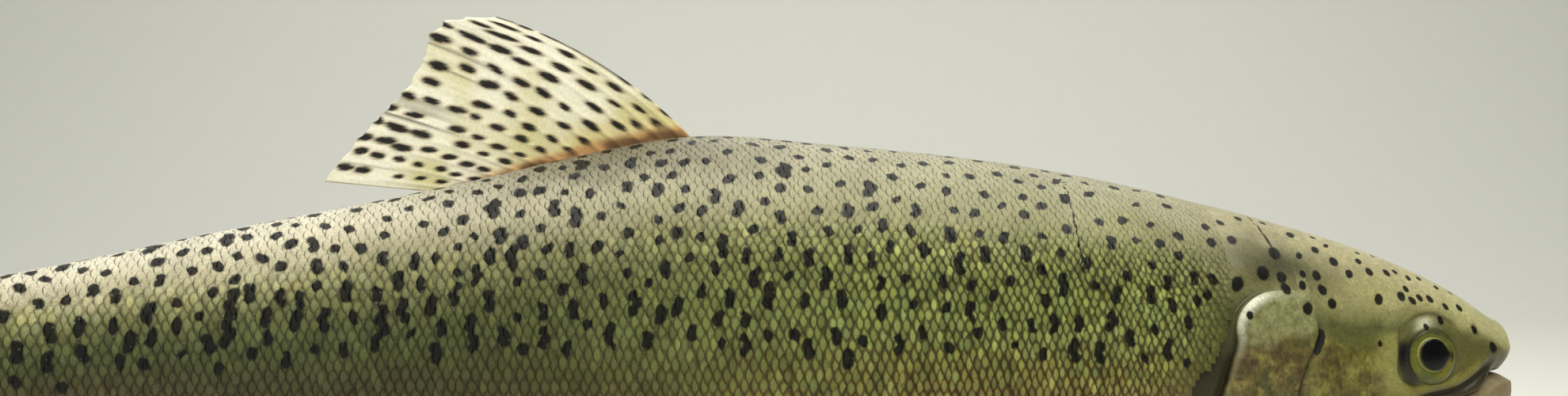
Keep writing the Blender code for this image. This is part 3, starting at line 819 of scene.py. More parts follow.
def socket_colour(colour, s, marks, fine):
    """The pale patch behind the eye, and the dark socket round the eye as painted shadow, with a
    painted highlight on its pale lid and painted shade under the brow.
    """
    forwards, upwards = marks["eye"]
    radius = np.hypot(forwards, upwards)
    near = ease(s, (0.105, 0.095))
    _, off = marks["suborbital"]
    behind = ease(off, (-0.3, 0.6)) * ease(off, (9, 2)) * ease(upwards, (8, 5))
    behind = behind * ease(forwards, (-4, -9))
    inside = ease(off, (0.2, -0.3)) * near
    # The dark band, and the crescent right by the eye, are painted shadow in the fold round the opening.
    band = inside * ease(radius, (12, 10.5)) * ease(forwards, (-3.5, -6)) * ease(upwards, (6, 2.5))
    shadow_by_eye = band * ease(radius, (11.2, 9.8))
    # A painted highlight on the lid above the eye, and painted shade under the brow.
    lid = hump(radius - 9.2, 1.2) * ease(upwards, (5, 7.5)) * near * hump(forwards + 1.8, 3)
    brow_shade = hump(radius - 11.5, 0.4) * ease(upwards, (8, 10.5)) * near
    # The dark ring at the opening's edge is painted shade too.
    return paint(
        colour,
        (124, 122, 68, behind * 0.8 * (1 + 0.2 * fine)),
        (80, 78, 40, inside * ease(radius, (13, 11.5)) * 0.75),
        (46, 44, 26, band * 0.7),
        (34, 36, 20, shadow_by_eye * ease(upwards, (6, 3)) * 0.8),
        (5, 6, 8, shadow_by_eye * hump(upwards - 1.0, 3.4)),
        (34, 32, 18, hump(radius - 7.9, 0.5) * near * 0.6),
        (196, 198, 166, lid * 0.85),
        (60, 56, 40, brow_shade * 0.6),
    )


def snout_colour(colour, s, share, marks, medium):
    """The snout, the furrow above the jaw, the lips, the jaw and the nostrils."""
    snout = ease(s, (0.055, 0.030)) * ease(share, (-0.1, 0.1))
    along, groove = marks["upper_groove"]
    along_mouth, mouth = marks["mouth"]
    above_mouth = ease(mouth, (-0.3, 0.3))
    pale = hump(groove - 2.0, 1.0) * ease(along, (0.05, 0.25)) * ease(along, (1.0, 0.7))
    lip = ease(groove, (0.5, -0.8)) * above_mouth * ease(s, (0.10, 0.095))
    lip = lip * np.where(s > 0.022, 1, ease(share, (0.30, 0.0)))
    brown = mix(rgb(64, 58, 30), rgb(82, 66, 38), ease(medium, (-0.7, 0.8)))
    depth = 3.4 - 2.3 * along
    # The furrow above the jaw is dark: its own dark colour, with painted shade in the groove.
    furrow = ease(groove, (0.6, 0.0)) * ease(groove, (-depth - 0.5, -depth + 0.7))
    tip = ease(s, (0.026, 0.004)) * ease(share + 0.05 * medium, (0.40, 0.0))
    under = ease(mouth, (5.6, 3.2)) * hump(s - 0.027, 0.013)
    jaw = ease(mouth, (0, -0.5)) * ease(mouth, (-9, -5)) * ease(s, (0.11, 0.09))
    colour = paint(
        colour,
        (76, 72, 36, snout * ease(share, (0.42, 0.28)) * 0.75),
        (140, 138, 96, snout * ease(share, (0.36, 0.46)) * 0.6),
        (112, 108, 50, pale * 0.75),
    )
    colour = paint(
        mix(colour, brown, lip * 0.85),
        (36, 33, 20, furrow * ease(along, (0.0, 0.10)) * above_mouth * 0.9),
        (76, 66, 34, tip * above_mouth * 0.8),
        (40, 38, 24, under * above_mouth * 0.75),
        (24, 19, 15, hump(mouth, 0.5) * ease(along_mouth, (1.0, 0.97)) * 0.9),
        (120, 106, 80, jaw * 0.75),
    )
    for distance in marks["nostrils"]:
        colour = paint(colour, (14, 13, 10, hump(distance, 0.85) * 0.95))
    return colour


def head_colour(colour, s, share, points, marks):
    """The colour of the head, laid over the colours of the side."""
    coarse = marbling(points, 6 * MM, 11)
    medium = marbling(points, 2.6 * MM, 21)
    fine = marbling(points, 1.0 * MM, 31)
    colour = cheek_colour(colour, s, share, marks, coarse, medium, fine)
    colour = gill_colour(colour, share, marks, medium, fine)
    colour = socket_colour(colour, s, marks, fine)
    return snout_colour(colour, s, share, marks, medium)


# Mesh helpers.


def new_mesh(name, points, faces, colours, finish, uv=None, ink=None, oval=None):
    """A piece from points, a list of arrays of faces, and a colour for each point."""
    mesh = bpy.data.meshes.new(name)
    corners = np.concatenate([some.ravel() for some in faces]).astype(np.int32)
    counts = np.concatenate([np.full(len(some), some.shape[1]) for some in faces])
    starts = np.concatenate([[0], np.cumsum(counts)[:-1]]).astype(np.int32)
    mesh.vertices.add(len(points))
    mesh.vertices.foreach_set("co", np.ascontiguousarray(points, np.float32).ravel())
    mesh.loops.add(len(corners))
    mesh.loops.foreach_set("vertex_index", corners)
    mesh.polygons.add(len(counts))
    mesh.polygons.foreach_set("loop_start", starts)
    mesh.polygons.foreach_set("use_smooth", np.ones(len(counts), bool))
    mesh.update(calc_edges=True)
    layer = mesh.color_attributes.new("hide", "FLOAT_COLOR", "POINT")
    colours = np.concatenate([np.clip(colours, 0, 1), np.ones((len(points), 1))], axis=1)
    layer.data.foreach_set("color", colours.astype(np.float32).ravel())
    extras = (("ink", "FLOAT", "value", ink), ("oval", "FLOAT_VECTOR", "vector", oval))
    for label, kind, field, values in extras:
        if values is not None:
            layer = mesh.attributes.new(label, kind, "POINT")
            layer.data.foreach_set(field, values.astype(np.float32).ravel())
    if uv is not None:
        places = uv[corners].astype(np.float32)
        mesh.uv_layers.new(name="OFBake").data.foreach_set("uv", places.ravel())
    mesh.materials.append(finish)
    obj = bpy.data.objects.new(name, mesh)
    bpy.context.scene.collection.objects.link(obj)
    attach(obj, "root")
    return obj


def grid_faces(rows, columns, closed=None):
    """Faces of a grid of points. closed is the axis along which it closes on itself."""
    number = np.arange(rows * columns).reshape(rows, columns)
    if closed is not None:
        number = np.concatenate([number, number.take([0], closed)], axis=closed)
    before, after = number[:-1], number[1:]
    return stack(before[:, :-1], before[:, 1:], after[:, 1:], after[:, :-1]).reshape(-1, 4)


# Materials.

SHINE = 0.15  # low, so that dark spots stay dark under the soft light
# The two tints below carry painted light: a painted highlight on each scale's paler middle, and painted
# shade in the darker gap round it.
OVAL_TINT_AND_HIGHLIGHT = (1.30, 1.40, 1.26, 1)  # of the middle of a scale
GAP_TINT_AND_SHADE = (0.40, 0.36, 0.34, 1)  # of the gap round it
OVAL_EDGE = (0.55, 1.15)  # where the one turns into the other, in shares of OVAL
INK_EDGE = (0.34, 0.66)  # the amounts of ink at a point where a spot's edge begins and ends
PAINTED = {
    "trout_skin": dict(roughness=0.42, coat=0.10, scale=1500, bump=0.30, tint=0.20),
    "trout_scales": dict(roughness=0.42, coat=0.08, scale=2600, bump=0.35, tint=0.24),
    "trout_fins": dict(roughness=0.45, coat=0.08, scale=1200, bump=0.2, tint=0.08),
    "trout_eyes": dict(
        roughness=0.30, coat=0.10, scale=2500, bump=0.05, tint=0.15, coat_roughness=0.10
    ),
}


def new_node(tree, kind, inputs=(), **settings):
    """The outputs of a new node. Each of its inputs gets a socket to link to or a fixed value."""
    made = tree.nodes.new("ShaderNode" + kind)
    for name, value in settings.items():
        setattr(made, name, value)
    set_inputs(tree, made, dict(inputs))
    return made.outputs


def set_inputs(tree, made, inputs):
    for name, value in inputs.items():
        if isinstance(value, bpy.types.NodeSocket):
            tree.links.new(value, made.inputs[name])
        else:
            made.inputs[name].default_value = value


def principled(name, roughness, coat=0.0, coat_roughness=0.1):
    made = bpy.data.materials.new(name)
    made.use_nodes = True
    shader = made.node_tree.nodes["Principled BSDF"]
    fixed = {"Roughness": roughness, "Coat Weight": coat, "Coat Roughness": coat_roughness}
    set_inputs(made.node_tree, shader, {**fixed, "Specular IOR Level": SHINE})
    return made, made.node_tree, shader


def grain(tree, scale, detail=3.0, stretch=None):
    """Noise over the piece's own coordinates, about 0.3 to 0.7."""
    where = new_node(tree, "TexCoord")["Object"]
    if stretch:
        where = new_node(tree, "Mapping", {"Vector": where, "Scale": stretch})["Vector"]
    return new_node(tree, "TexNoise", {"Vector": where, "Scale": scale, "Detail": detail})["Fac"]


def map_range(tree, source, low, high, clamp_low=0.3, clamp_high=0.7, kind="LINEAR"):
    inputs = {
        "Value": source,
        "From Min": clamp_low,
        "From Max": clamp_high,
        "To Min": low,
        "To Max": high,
    }
    return new_node(tree, "MapRange", inputs, interpolation_type=kind)["Result"]


def two_tones(tree, source, tones, places=(0, 1)):
    """A colour that runs from one tone to the other as the source runs between the places."""
    ramp = tree.nodes.new("ShaderNodeValToRGB")
    for stop, tone, at in zip(ramp.color_ramp.elements, tones, places):
        stop.position = at
        stop.color = (*tone, 1)
    tree.links.new(source, ramp.inputs["Fac"])
    return ramp.outputs["Color"]


def bump_node(tree, height, strength, distance):
    inputs = {"Height": height, "Strength": strength, "Distance": distance}
    return new_node(tree, "Bump", inputs)["Normal"]


def attribute(tree, name, output):
    return new_node(tree, "Attribute", attribute_name=name)[output]


def mix_node(tree, blend, factor, first, second):
    """A colour mixed from two others. Its sockets share their names, so they go by number."""
    inputs = {0: factor, 6: first, 7: second}
    return new_node(tree, "Mix", inputs, data_type="RGBA", blend_type=blend)["Result"]


def oval_shade(tree):
    """Painted light on each scale, where a piece has scales: a painted highlight on its paler middle
    and painted shade in the darker gap round it.
    """
    place = attribute(tree, "oval", "Vector")
    flat = new_node(tree, "VectorMath", {0: place, 1: (1, 1, 0)}, operation="MULTIPLY")["Vector"]
    away = new_node(tree, "VectorMath", {0: flat}, operation="LENGTH")["Value"]
    inside = map_range(tree, away, 1, 0, *OVAL_EDGE, "SMOOTHSTEP")
    contrast = new_node(tree, "SeparateXYZ", {"Vector": place})["Z"]
    return mix_node(tree, "MIX", inside, GAP_TINT_AND_SHADE, OVAL_TINT_AND_HIGHLIGHT), contrast


def painted_material(name, roughness, coat, scale, bump, tint, coat_roughness=0.12):
    """A moist surface that takes its colour from the points, with a fine grain over it.

    The spots' ink comes from the points too, and its edge is sharpened here.
    """
    made, tree, shader = principled(name, roughness, coat, coat_roughness)
    fine = grain(tree, scale, 4.0)
    shade, contrast = oval_shade(tree)
    colour = mix_node(tree, "MULTIPLY", contrast, attribute(tree, "hide", "Color"), shade)
    ink = map_range(tree, attribute(tree, "ink", "Fac"), 0, 0.97, *INK_EDGE, "SMOOTHSTEP")
    colour = mix_node(tree, "MIX", ink, colour, (*SPOT_COLOUR, 1))
    grainy = map_range(tree, fine, 1 - tint, 1 + tint)
    inputs = {
        "Base Color": mix_node(tree, "MULTIPLY", 1.0, colour, grainy),
        "Roughness": map_range(tree, fine, roughness * 0.8, roughness * 1.25),
        "Normal": bump_node(tree, fine, bump, 0.4 * MM),
    }
    set_inputs(tree, shader, inputs)
    return made


def wood_material():
    made, tree, shader = principled("dark_wood", 0.42, 0.25)
    lines = grain(tree, 60, 6.0, (0.5, 6.0, 6.0))
    inputs = {
        "Base Color": two_tones(tree, lines, (rgb(40, 26, 18), rgb(88, 58, 38)), (0.35, 0.65)),
        "Roughness": map_range(tree, lines, 0.34, 0.5),
        "Normal": bump_node(tree, lines, 0.25, 0.4 * MM),
    }
    set_inputs(tree, shader, inputs)
    return made


def steel_material():
    made, tree, shader = principled("brushed_steel", 0.3)
    lines = grain(tree, 900, 2.0, (1.0, 1.0, 0.04))
    inputs = {
        "Metallic": 1.0,
        "Base Color": two_tones(tree, lines, (rgb(168, 168, 166), rgb(206, 206, 202))),
        "Roughness": map_range(tree, lines, 0.22, 0.38),
        "Normal": bump_node(tree, lines, 0.2, 0.2 * MM),
    }
    set_inputs(tree, shader, inputs)
    return made


def studio_material(name, colour):
    made, tree, shader = principled(name, 0.85)
    tones = two_tones(tree, grain(tree, 30, 2.0), (colour * 0.97, colour))
    set_inputs(tree, shader, {"Base Color": tones})
    return made


# The skin.

SKIN_SINK = 0.00055  # of the skin under the scales
COAT_STARTS = (0.165, 0.185)  # where the skin sinks under the first scales
HEAD_ENDS = 0.235  # where the relief and the colours of the head have faded out
HEAD_RINGS = 256
MEMBRANE_RINGS = 14
SHOULDER_RINGS = 48
TRUNK_RINGS = 76
SHOULDER_ENDS = 0.26
HALF_COLUMNS = 196
CORNER_ANGLE = 1.11  # of the upper corner of the gill cover
UV_LENGTH = 0.96  # of the body on the unrolled skin
UV_HEIGHT = 2.4  # of a metre of its height there


def bake_place(s, above, side):
    """Places on the unrolled skin, the left side in one half and the right in the other."""
    return stack(0.02 + UV_LENGTH * s, 0.5 - 0.25 * side + UV_HEIGHT * above)


def skin_rings(angle):
    """Distances from the snout of each ring, for each angle. Some rings follow the gill's edges."""
    edge = gill_edge(angle)
    outer = np.maximum(membrane_edge(angle), edge + 0.002)
    u = np.arange(1, HEAD_RINGS + 1)[:, None] / HEAD_RINGS
    head = edge * np.where(u < 0.5, u * u, u - 0.25) / 0.75
    u = (np.arange(1, MEMBRANE_RINGS + 1)[:, None] / MEMBRANE_RINGS) ** 1.5
    membrane = edge + (outer - edge) * u
    u = (np.arange(1, SHOULDER_RINGS + 1)[:, None] / SHOULDER_RINGS) ** 1.3
    shoulder = outer + (SHOULDER_ENDS - outer) * u
    u = np.arange(1, TRUNK_RINGS + 1)[:, None] / TRUNK_RINGS
    trunk = SHOULDER_ENDS + (1 - SHOULDER_ENDS) * u + 0 * edge
    return np.concatenate([head, membrane, shoulder, trunk])


def skin_columns():
    """The angles of the columns of one side, crowded at the upper corner of the gill cover."""
    angles = np.linspace(0, math.pi, 2000)
    count = np.cumsum(1 + 2.5 * hump(angles - CORNER_ANGLE, 0.13))
    count = (count - count[0]) / (count[-1] - count[0])
    return np.interp(np.arange(HALF_COLUMNS + 1) / HALF_COLUMNS, count, angles)


def make_skin(finish):
    half = skin_columns()
    angle = np.concatenate([half, half[-2:0:-1]])
    side = np.concatenate([np.ones(len(half)), -np.ones(HALF_COLUMNS - 1)])
    s = skin_rings(angle)
    rings, columns = s.shape
    s, angle, side = (part.ravel() for part in np.broadcast_arrays(s, angle, side))
    points = skin_point(s, angle, side, SKIN_SINK * ease(s, COAT_STARTS))
    normal = outward(np.minimum(s, 0.999), angle, side)
    colours = np.empty((len(s), 3))
    on_head = s < HEAD_ENDS
    marks = head_marks(s[on_head], angle[on_head])
    relief = head_relief(s[on_head], angle[on_head], marks)
    points[on_head] += normal[on_head] * relief[:, None]
    colours[on_head] = hide_colour(s[on_head], angle[on_head], side[on_head], marks)
    colours[~on_head] = hide_colour(s[~on_head], angle[~on_head], side[~on_head])
    ink = ink_at(s, angle, side)
    uv = bake_place(s, above_line(s, angle), side)

    # One more point closes each end, at the snout's tip and inside the tail fin's root.
    tip = points[:columns].mean(axis=0)[None]
    stalk_end = points[-columns:].mean(axis=0)[None]
    points = np.concatenate([points, tip, stalk_end])
    colours, uv, ink = (np.concatenate([part, part[:1], part[-1:]]) for part in (colours, uv, ink))
    body = grid_faces(rings, columns, closed=1)
    around = np.arange(columns)
    after = (around + 1) % columns
    last = (rings - 1) * columns
    top = rings * columns
    caps = np.concatenate([stack(top, after, around), stack(around + last, after + last, top + 1)])
    obj = new_mesh("skin", points, [body, caps], colours, finish, uv, ink)
    names = ["head", "lower_jaw", "trunk_front", "trunk_rear", "tail_stalk"]
    names += [f"{what}_{word}" for what in ("maxilla", "gill_cover") for _, word in SIDES]
    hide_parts(*names)


# The scales.

SCALE_PITCH = 0.0028  # from one scale to the next along a row
SCALE_ROW = 0.0028  # between neighbouring rows by the line, which lie half a scale apart
ROWS_EACH_WAY = 50
CROWDED_ROWS = 0.58  # the share of that distance that is left on the back and the belly
CROWDING_ROWS = 12  # over about this many rows they close up
SCALE_ROOT = -0.0012  # how far a scale starts before the middle of its column
SCALE_REACH = 0.0030  # how far it runs behind it
SCALE_ROUND = 0.0025  # how much shorter it is at its corners
SCALE_HALF_WIDTH = 0.0031
SCALE_LOW = -0.00036  # the height of its root, from the surface of the solids
SCALE_SLOPE = 0.095
SCALE_LIP = 0.00022  # how far its free margin turns down
SCALE_ACROSS = (-1.0, -0.84, -0.54, -0.18, 0.18, 0.54, 0.84, 1.0)
SCALE_ALONG = (0.06, 0.36, 0.72, 1.0)  # shares of the part that shows
SCALE_DOME = (0, 0, 0.16, 0.15, -0.10, -0.10)  # in mm, for each row of points
OVAL_MIDDLE = 0.0016  # of the bright oval on each scale, behind the scale's own middle
OVAL = (0.00105, 0.00183)  # its half length and half width
INK_SPREAD = 0.85  # under 1, so that the ink follows the scales and the spots are ragged
SCALES_END = 0.996
# How long and how wide the scales are, by the distance from the snout.
SCALE_LENGTHS = (
    (0.16, 0.25, 0.32, 0.40, 0.55, 0.8, 1.0), (0.68, 0.72, 0.80, 0.92, 1.0, 0.94, 0.80),
)
SCALE_WIDTHS = (
    (0.16, 0.21, 0.25, 0.35, 0.6, 0.8, 1.0), (0.70, 0.76, 0.86, 0.98, 1.0, 0.92, 0.78),
)
# Where the scales begin, by the angle from the back.
NAPE = ((0.0, 0.60, 0.94, 1.27, 1.6), (0.160, 0.164, 0.173, 0.178, 0.178))
BAKE_PATCH = 0.003  # the size of a scale's patch on the unrolled skin
COAT_SPANS = (0.10, 0.27, 0.36, 0.46, 0.58, 0.74, 1.0)  # the coat's pieces, by the distance
WARMER = np.array((1.0, 0.1, -1.4))  # how red, green and blue change in a warmer scale
REDDER = np.array((0.30, -0.05, -0.10))


def scale_template():
    """Points of one scale, as distances behind and above its middle, and its height.

    The rows of points follow the margins of the scales in front, which cover its root.
    """
    across = np.array(SCALE_ACROSS) * SCALE_HALF_WIDTH

    def rounded(off):
        return SCALE_REACH - SCALE_ROUND * (1 - np.sqrt(1 - (off / SCALE_HALF_WIDTH) ** 2))

    rear = rounded(across)
    same_row = rear - SCALE_PITCH
    next_row = rounded(SCALE_ROW - np.abs(across)) - SCALE_PITCH / 2
    cover = np.minimum(np.maximum(same_row, next_row), rear - 0.1 * MM)
    rows = [np.full_like(across, SCALE_ROOT)]
    rows += [cover + (rear - cover) * way for way in SCALE_ALONG]
    rows += [rear - 0.03 * MM]
    along = np.array(rows)
    across = np.broadcast_to(across, along.shape)
    lift = SCALE_LOW + SCALE_SLOPE * (along - SCALE_ROOT)
    lift = lift - 0.10 * MM * (across / SCALE_HALF_WIDTH) ** 2
    lift = lift + np.array(SCALE_DOME)[:, None] * MM
    lift[-1] -= SCALE_LIP
    return along, across, lift


def scale_places(random):
    """The middle of each scale of one side, as distance from the snout and above the line.

    Then how far each lies behind the foremost, and the width of its row.
    """
    columns = [COAT_SPANS[0]]
    while columns[-1] < SCALES_END:
        size = np.interp(columns[-1], *SCALE_LENGTHS)
        columns.append(columns[-1] + SCALE_PITCH * size / BODY_LENGTH)
    columns = np.array(columns)[:, None]
    row = np.arange(-ROWS_EACH_WAY, ROWS_EACH_WAY + 1)
    half = (row % 2) / 2
    s = columns[:-1] * (1 - half) + columns[1:] * half
    bent = row / CROWDING_ROWS
    width = CROWDED_ROWS + (1 - CROWDED_ROWS) / (1 + bent**2)
    height = CROWDED_ROWS * row + (1 - CROWDED_ROWS) * CROWDING_ROWS * np.arctan(bent)
    above = SCALE_ROW * height * np.interp(s, *SCALE_WIDTHS)
    width = (width + 0 * s).ravel()
    s, above = s.ravel(), above.ravel()
    angle = angle_at(s, above)
    nape = np.interp(angle, *NAPE)
    start = np.where(angle < 1.2, nape, np.maximum(nape, membrane_edge(angle) + 0.0015))
    kept = (np.abs(share_of(s, above)) < 1.0) & (s > start) & (s < SCALES_END)
    behind = s - start
    # The rows waver a little, as they grew.
    points = stack(s * BODY_LENGTH, above)
    shift = 0.75 * noise(points, 13 * MM, 91) + random.normal(0, 0.20, s.shape)
    rise = 0.60 * noise(points, 11 * MM, 92) + random.normal(0, 0.19, s.shape)
    s = s + shift * MM / BODY_LENGTH
    above = above + rise * MM
    return s[kept], above[kept], behind[kept], width[kept]


def scale_contrast(s, share, behind):
    """How strongly the scales' edges show, with their painted light and shade: less on the back, to
    the rear and where they begin.
    """
    on_side = 0.04 + 0.96 * ease(share, (0.58, 0.40))
    at_front = 0.35 + 0.65 * ease(behind, (0.0, 0.025))
    return on_side * at_front * np.interp(s, (0.34, 0.50), (1.0, 0.55))


def lip_fade(s):
    """How flush the scales of the side lie towards the rear, from 0 to 1."""
    return np.interp(s, (0.36, 0.58), (0.0, 0.6))


def make_scales(side, word, finish):
    random = np.random.default_rng(77 + side)
    s0, above0, behind, row_width = (part[:, None] for part in scale_places(random))
    along, across, lift = (part.ravel() for part in scale_template())
    share = share_of(s0, above0)
    fresh = 0.66 + 0.34 * ease(behind, (0.0, 0.016))
    length = np.interp(s0, *SCALE_LENGTHS) * (0.5 + 0.5 * fresh)
    length = length * random.uniform(0.93, 1.09, s0.shape)
    width = row_width * np.interp(s0, *SCALE_WIDTHS) * fresh
    width = width * random.uniform(0.93, 1.09, s0.shape)
    s = s0 + along * length / BODY_LENGTH
    above = above0 + across * width
    angle = angle_at(s, above)
    tilt = (1 + random.normal(0, 0.16, s0.shape)) * (1 - 0.90 * ease(share, (0.36, 0.58)))
    tilt = tilt * np.interp(s0, (0.34, 0.55), (1.0, 0.72))
    height = (lift - SCALE_LOW) * tilt * length * fresh + SCALE_LOW
    # The scales of the back and the rear lie flush, without a lip.
    on_back = ease(share, (0.34, 0.52))
    flush = 0.95 * on_back + (1 - on_back) * lip_fade(s0)
    row = len(SCALE_ACROSS)
    height[:, -row:] += (height[:, -2 * row : -row] - height[:, -row:]) * flush
    normal = outward(s0, angle_at(s0, above0), side)
    points = skin_point(s, angle, side) + normal * height[..., None]

    middle = s0 + 0.55 * SCALE_PITCH / BODY_LENGTH
    ink_s = middle + (s - middle) * INK_SPREAD
    ink_angle = angle_at(ink_s, above0 + (above - above0) * INK_SPREAD)
    sides = np.full(s.size, side)
    ink = ink_at(ink_s.ravel(), ink_angle.ravel(), sides).reshape(s.shape)
    colours = hide_colour(s.ravel(), angle.ravel(), sides).reshape(*s.shape, 3)
    contrast = scale_contrast(s0, share, behind)
    bright = np.exp(random.normal(0, 0.20, s0.shape) * (0.12 + 0.88 * contrast))
    warmth = random.normal(0, 0.04, s0.shape) * contrast
    # Painted shade: the shoulder is dusky just behind the gill cover.
    low = ease(share, (0.42, 0.22)) * ease(share, (-0.7, -0.4))
    bright = bright * (1 - 0.22 * ease(behind, (0.014, 0.0)) * low)
    colours = shaded(colours, bright) * (1 + warmth[..., None] * WARMER)
    shift = random.normal(0, 0.12 * MM, (2, *s0.shape))
    spread = random.uniform(0.86, 1.12, (2, *s0.shape))
    oval_along = (along - OVAL_MIDDLE - shift[0]) / (OVAL[0] * spread[0])
    oval_across = (across - shift[1]) / (OVAL[1] * spread[1])
    # The gaps between the scales of the band are redder than the scales.
    gap = ease(np.hypot(oval_along, oval_across), OVAL_EDGE) * contrast
    red = gap * ease(share, (0.12, -0.04)) * ease(share, (-0.5, -0.3))
    colours = colours * (1 + red[..., None] * REDDER)
    oval = stack(oval_along, oval_across, contrast)

    patch = stack(along / (SCALE_REACH - SCALE_ROOT), across / (2 * SCALE_HALF_WIDTH))
    uv = bake_place(s0, above0, side) + patch * BAKE_PATCH
    template = grid_faces(len(SCALE_ALONG) + 2, row)
    if side < 0:
        template = template[:, ::-1]
    for number, (first, last) in enumerate(zip(COAT_SPANS, COAT_SPANS[1:]), 1):
        chosen = ((s0 >= first) & (s0 < last))[:, 0]
        starts = np.arange(chosen.sum())[:, None, None] * len(along)
        obj = new_mesh(
            f"scales_{word}_{number}",
            points[chosen].reshape(-1, 3),
            [(template + starts).reshape(-1, 4)],
            colours[chosen].reshape(-1, 3),
            finish,
            uv[chosen].reshape(-1, 2),
            ink[chosen].ravel(),
            oval[chosen].reshape(-1, 3),
        )


# The fins.


def plate(name, sheet, half_thickness, colours, finish, node):
    """A thin closed piece round a sheet of points, the same colours on both of its faces."""
    normal = np.cross(np.gradient(sheet, axis=0), np.gradient(sheet, axis=1))
    normal /= np.maximum(np.linalg.norm(normal, axis=-1, keepdims=True), 1e-12)
    offset = normal * half_thickness[..., None]
    points = np.concatenate([(sheet + offset).reshape(-1, 3), (sheet - offset).reshape(-1, 3)])
    rows, columns = sheet.shape[:2]
    faces = grid_faces(rows, columns)
    count = rows * columns
    number = np.arange(count).reshape(rows, columns)
    rim = np.concatenate([number[0], number[1:, -1], number[-1, -2::-1], number[-2:0:-1, 0]])
    after = np.roll(rim, -1)
    edge = stack(rim, rim + count, after + count, after)
    every = [faces[:, ::-1], faces + count, edge[:, ::-1]]
    obj = new_mesh(name, points, every, np.tile(colours.reshape(-1, 3), (2, 1)), finish)
    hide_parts(node)


FIN_ACROSS = 9  # columns of points to each ray
FIN_ALONG = 78
FIN_MARGIN = 0.0006  # how thick a fin is at its margin
RAY_WIDTH = 0.13  # in shares of the way to the next ray
FORK_STARTS = 0.42  # where the rays branch


def fin_sheet(root, tips, rays, bow, bow_towards):
    """Points of a fin, by ray and from root to tip, with the share of the way for both."""
    count = rays * FIN_ACROSS + 1
    starts = smooth_line(root, count)
    ends = smooth_line(tips, count)
    ray = np.linspace(0, 1, count)[:, None]
    along = np.linspace(0, 1, FIN_ALONG)
    phase = ray * rays
    notch = 0.5 - 0.5 * np.cos(2 * math.pi * phase)
    reach = 1 - 0.007 * (1 - notch) * ease(ray, (0.0, 0.15))
    way = along * (reach * (1 + 0.010 * noise(stack(phase * 4, 0, 0), 1.0, 23)))
    length = np.linalg.norm(ends - starts, axis=1)[:, None]
    rise = bow * length * (1 - ray) * 4 * way * (1 - way)
    sheet = starts[:, None] + (ends - starts)[:, None] * way[..., None]
    sheet = sheet + rise[..., None] * np.asarray(bow_towards, float)
    return sheet, ray + 0 * along, way


def ray_ridge(ray, way, rays):
    """1 on the rays, 0 on the skin between them. Each ray forks towards its tip."""
    phase = ray * rays - 0.5
    off = phase - np.round(phase)
    fork = 0.24 * ease(way, (FORK_STARTS, 1.0))
    width = RAY_WIDTH * (1 - 0.5 * way)
    return np.maximum(hump(off - fork, width), hump(off + fork, width))


def fin_piece(node, root, tips, rays, look, finish, bow=0.0, bow_towards=(0, 0, 1), thick=0.0034):
    sheet, ray, way = fin_sheet(root, tips, rays, bow, bow_towards)
    ridge = ray_ridge(ray, way, rays)
    leading = ease(ray, (1.6 / rays, 0))
    body = FIN_MARGIN + (thick - FIN_MARGIN) * np.clip(1 - way, 0, 1) ** 1.7
    half = body / 2 * (0.80 + 0.20 * ridge) + 0.25 * MM * leading * (1 - way) + 0.045 * MM * ridge
    half = half * (1 - 0.45 * ease(way, (0.9, 1.0)))
    plate(node + "_skin", sheet, half, look(sheet, ray, way, ridge), finish, node)


def fin_spots(ray, way, rays, seed, step, first=0.12, last=0.95, fill=0.85, wide=0.30, high=0.30):
    """Oval spots in rows on the skin between the rays, from 0 to 1."""
    random = np.random.default_rng(seed)
    ink = np.zeros(ray.shape)
    ragged = 0.10 * noise(stack(ray * rays * 4, way * 26, 0), 1.0, seed)
    for number in range(rays):
        at = first + random.uniform(0, step)
        while at < last:
            if random.random() < fill:
                middle = number + random.normal(0, 0.10)
                size = random.uniform(0.75, 1.15)
                longer = 1 + 1.1 * ease(at, (0.5, 0.9)) * random.random()
                slant = random.normal(0, 0.8)
                across = (ray * rays - middle + slant * (way - at)) / (wide * size)
                along = (way - at) / (high * step * size * longer)
                ink = np.maximum(ink, 1 - ease(np.hypot(across, along) + ragged, (0.80, 1.16)))
            at += step * random.uniform(0.85, 1.2)
    return ink


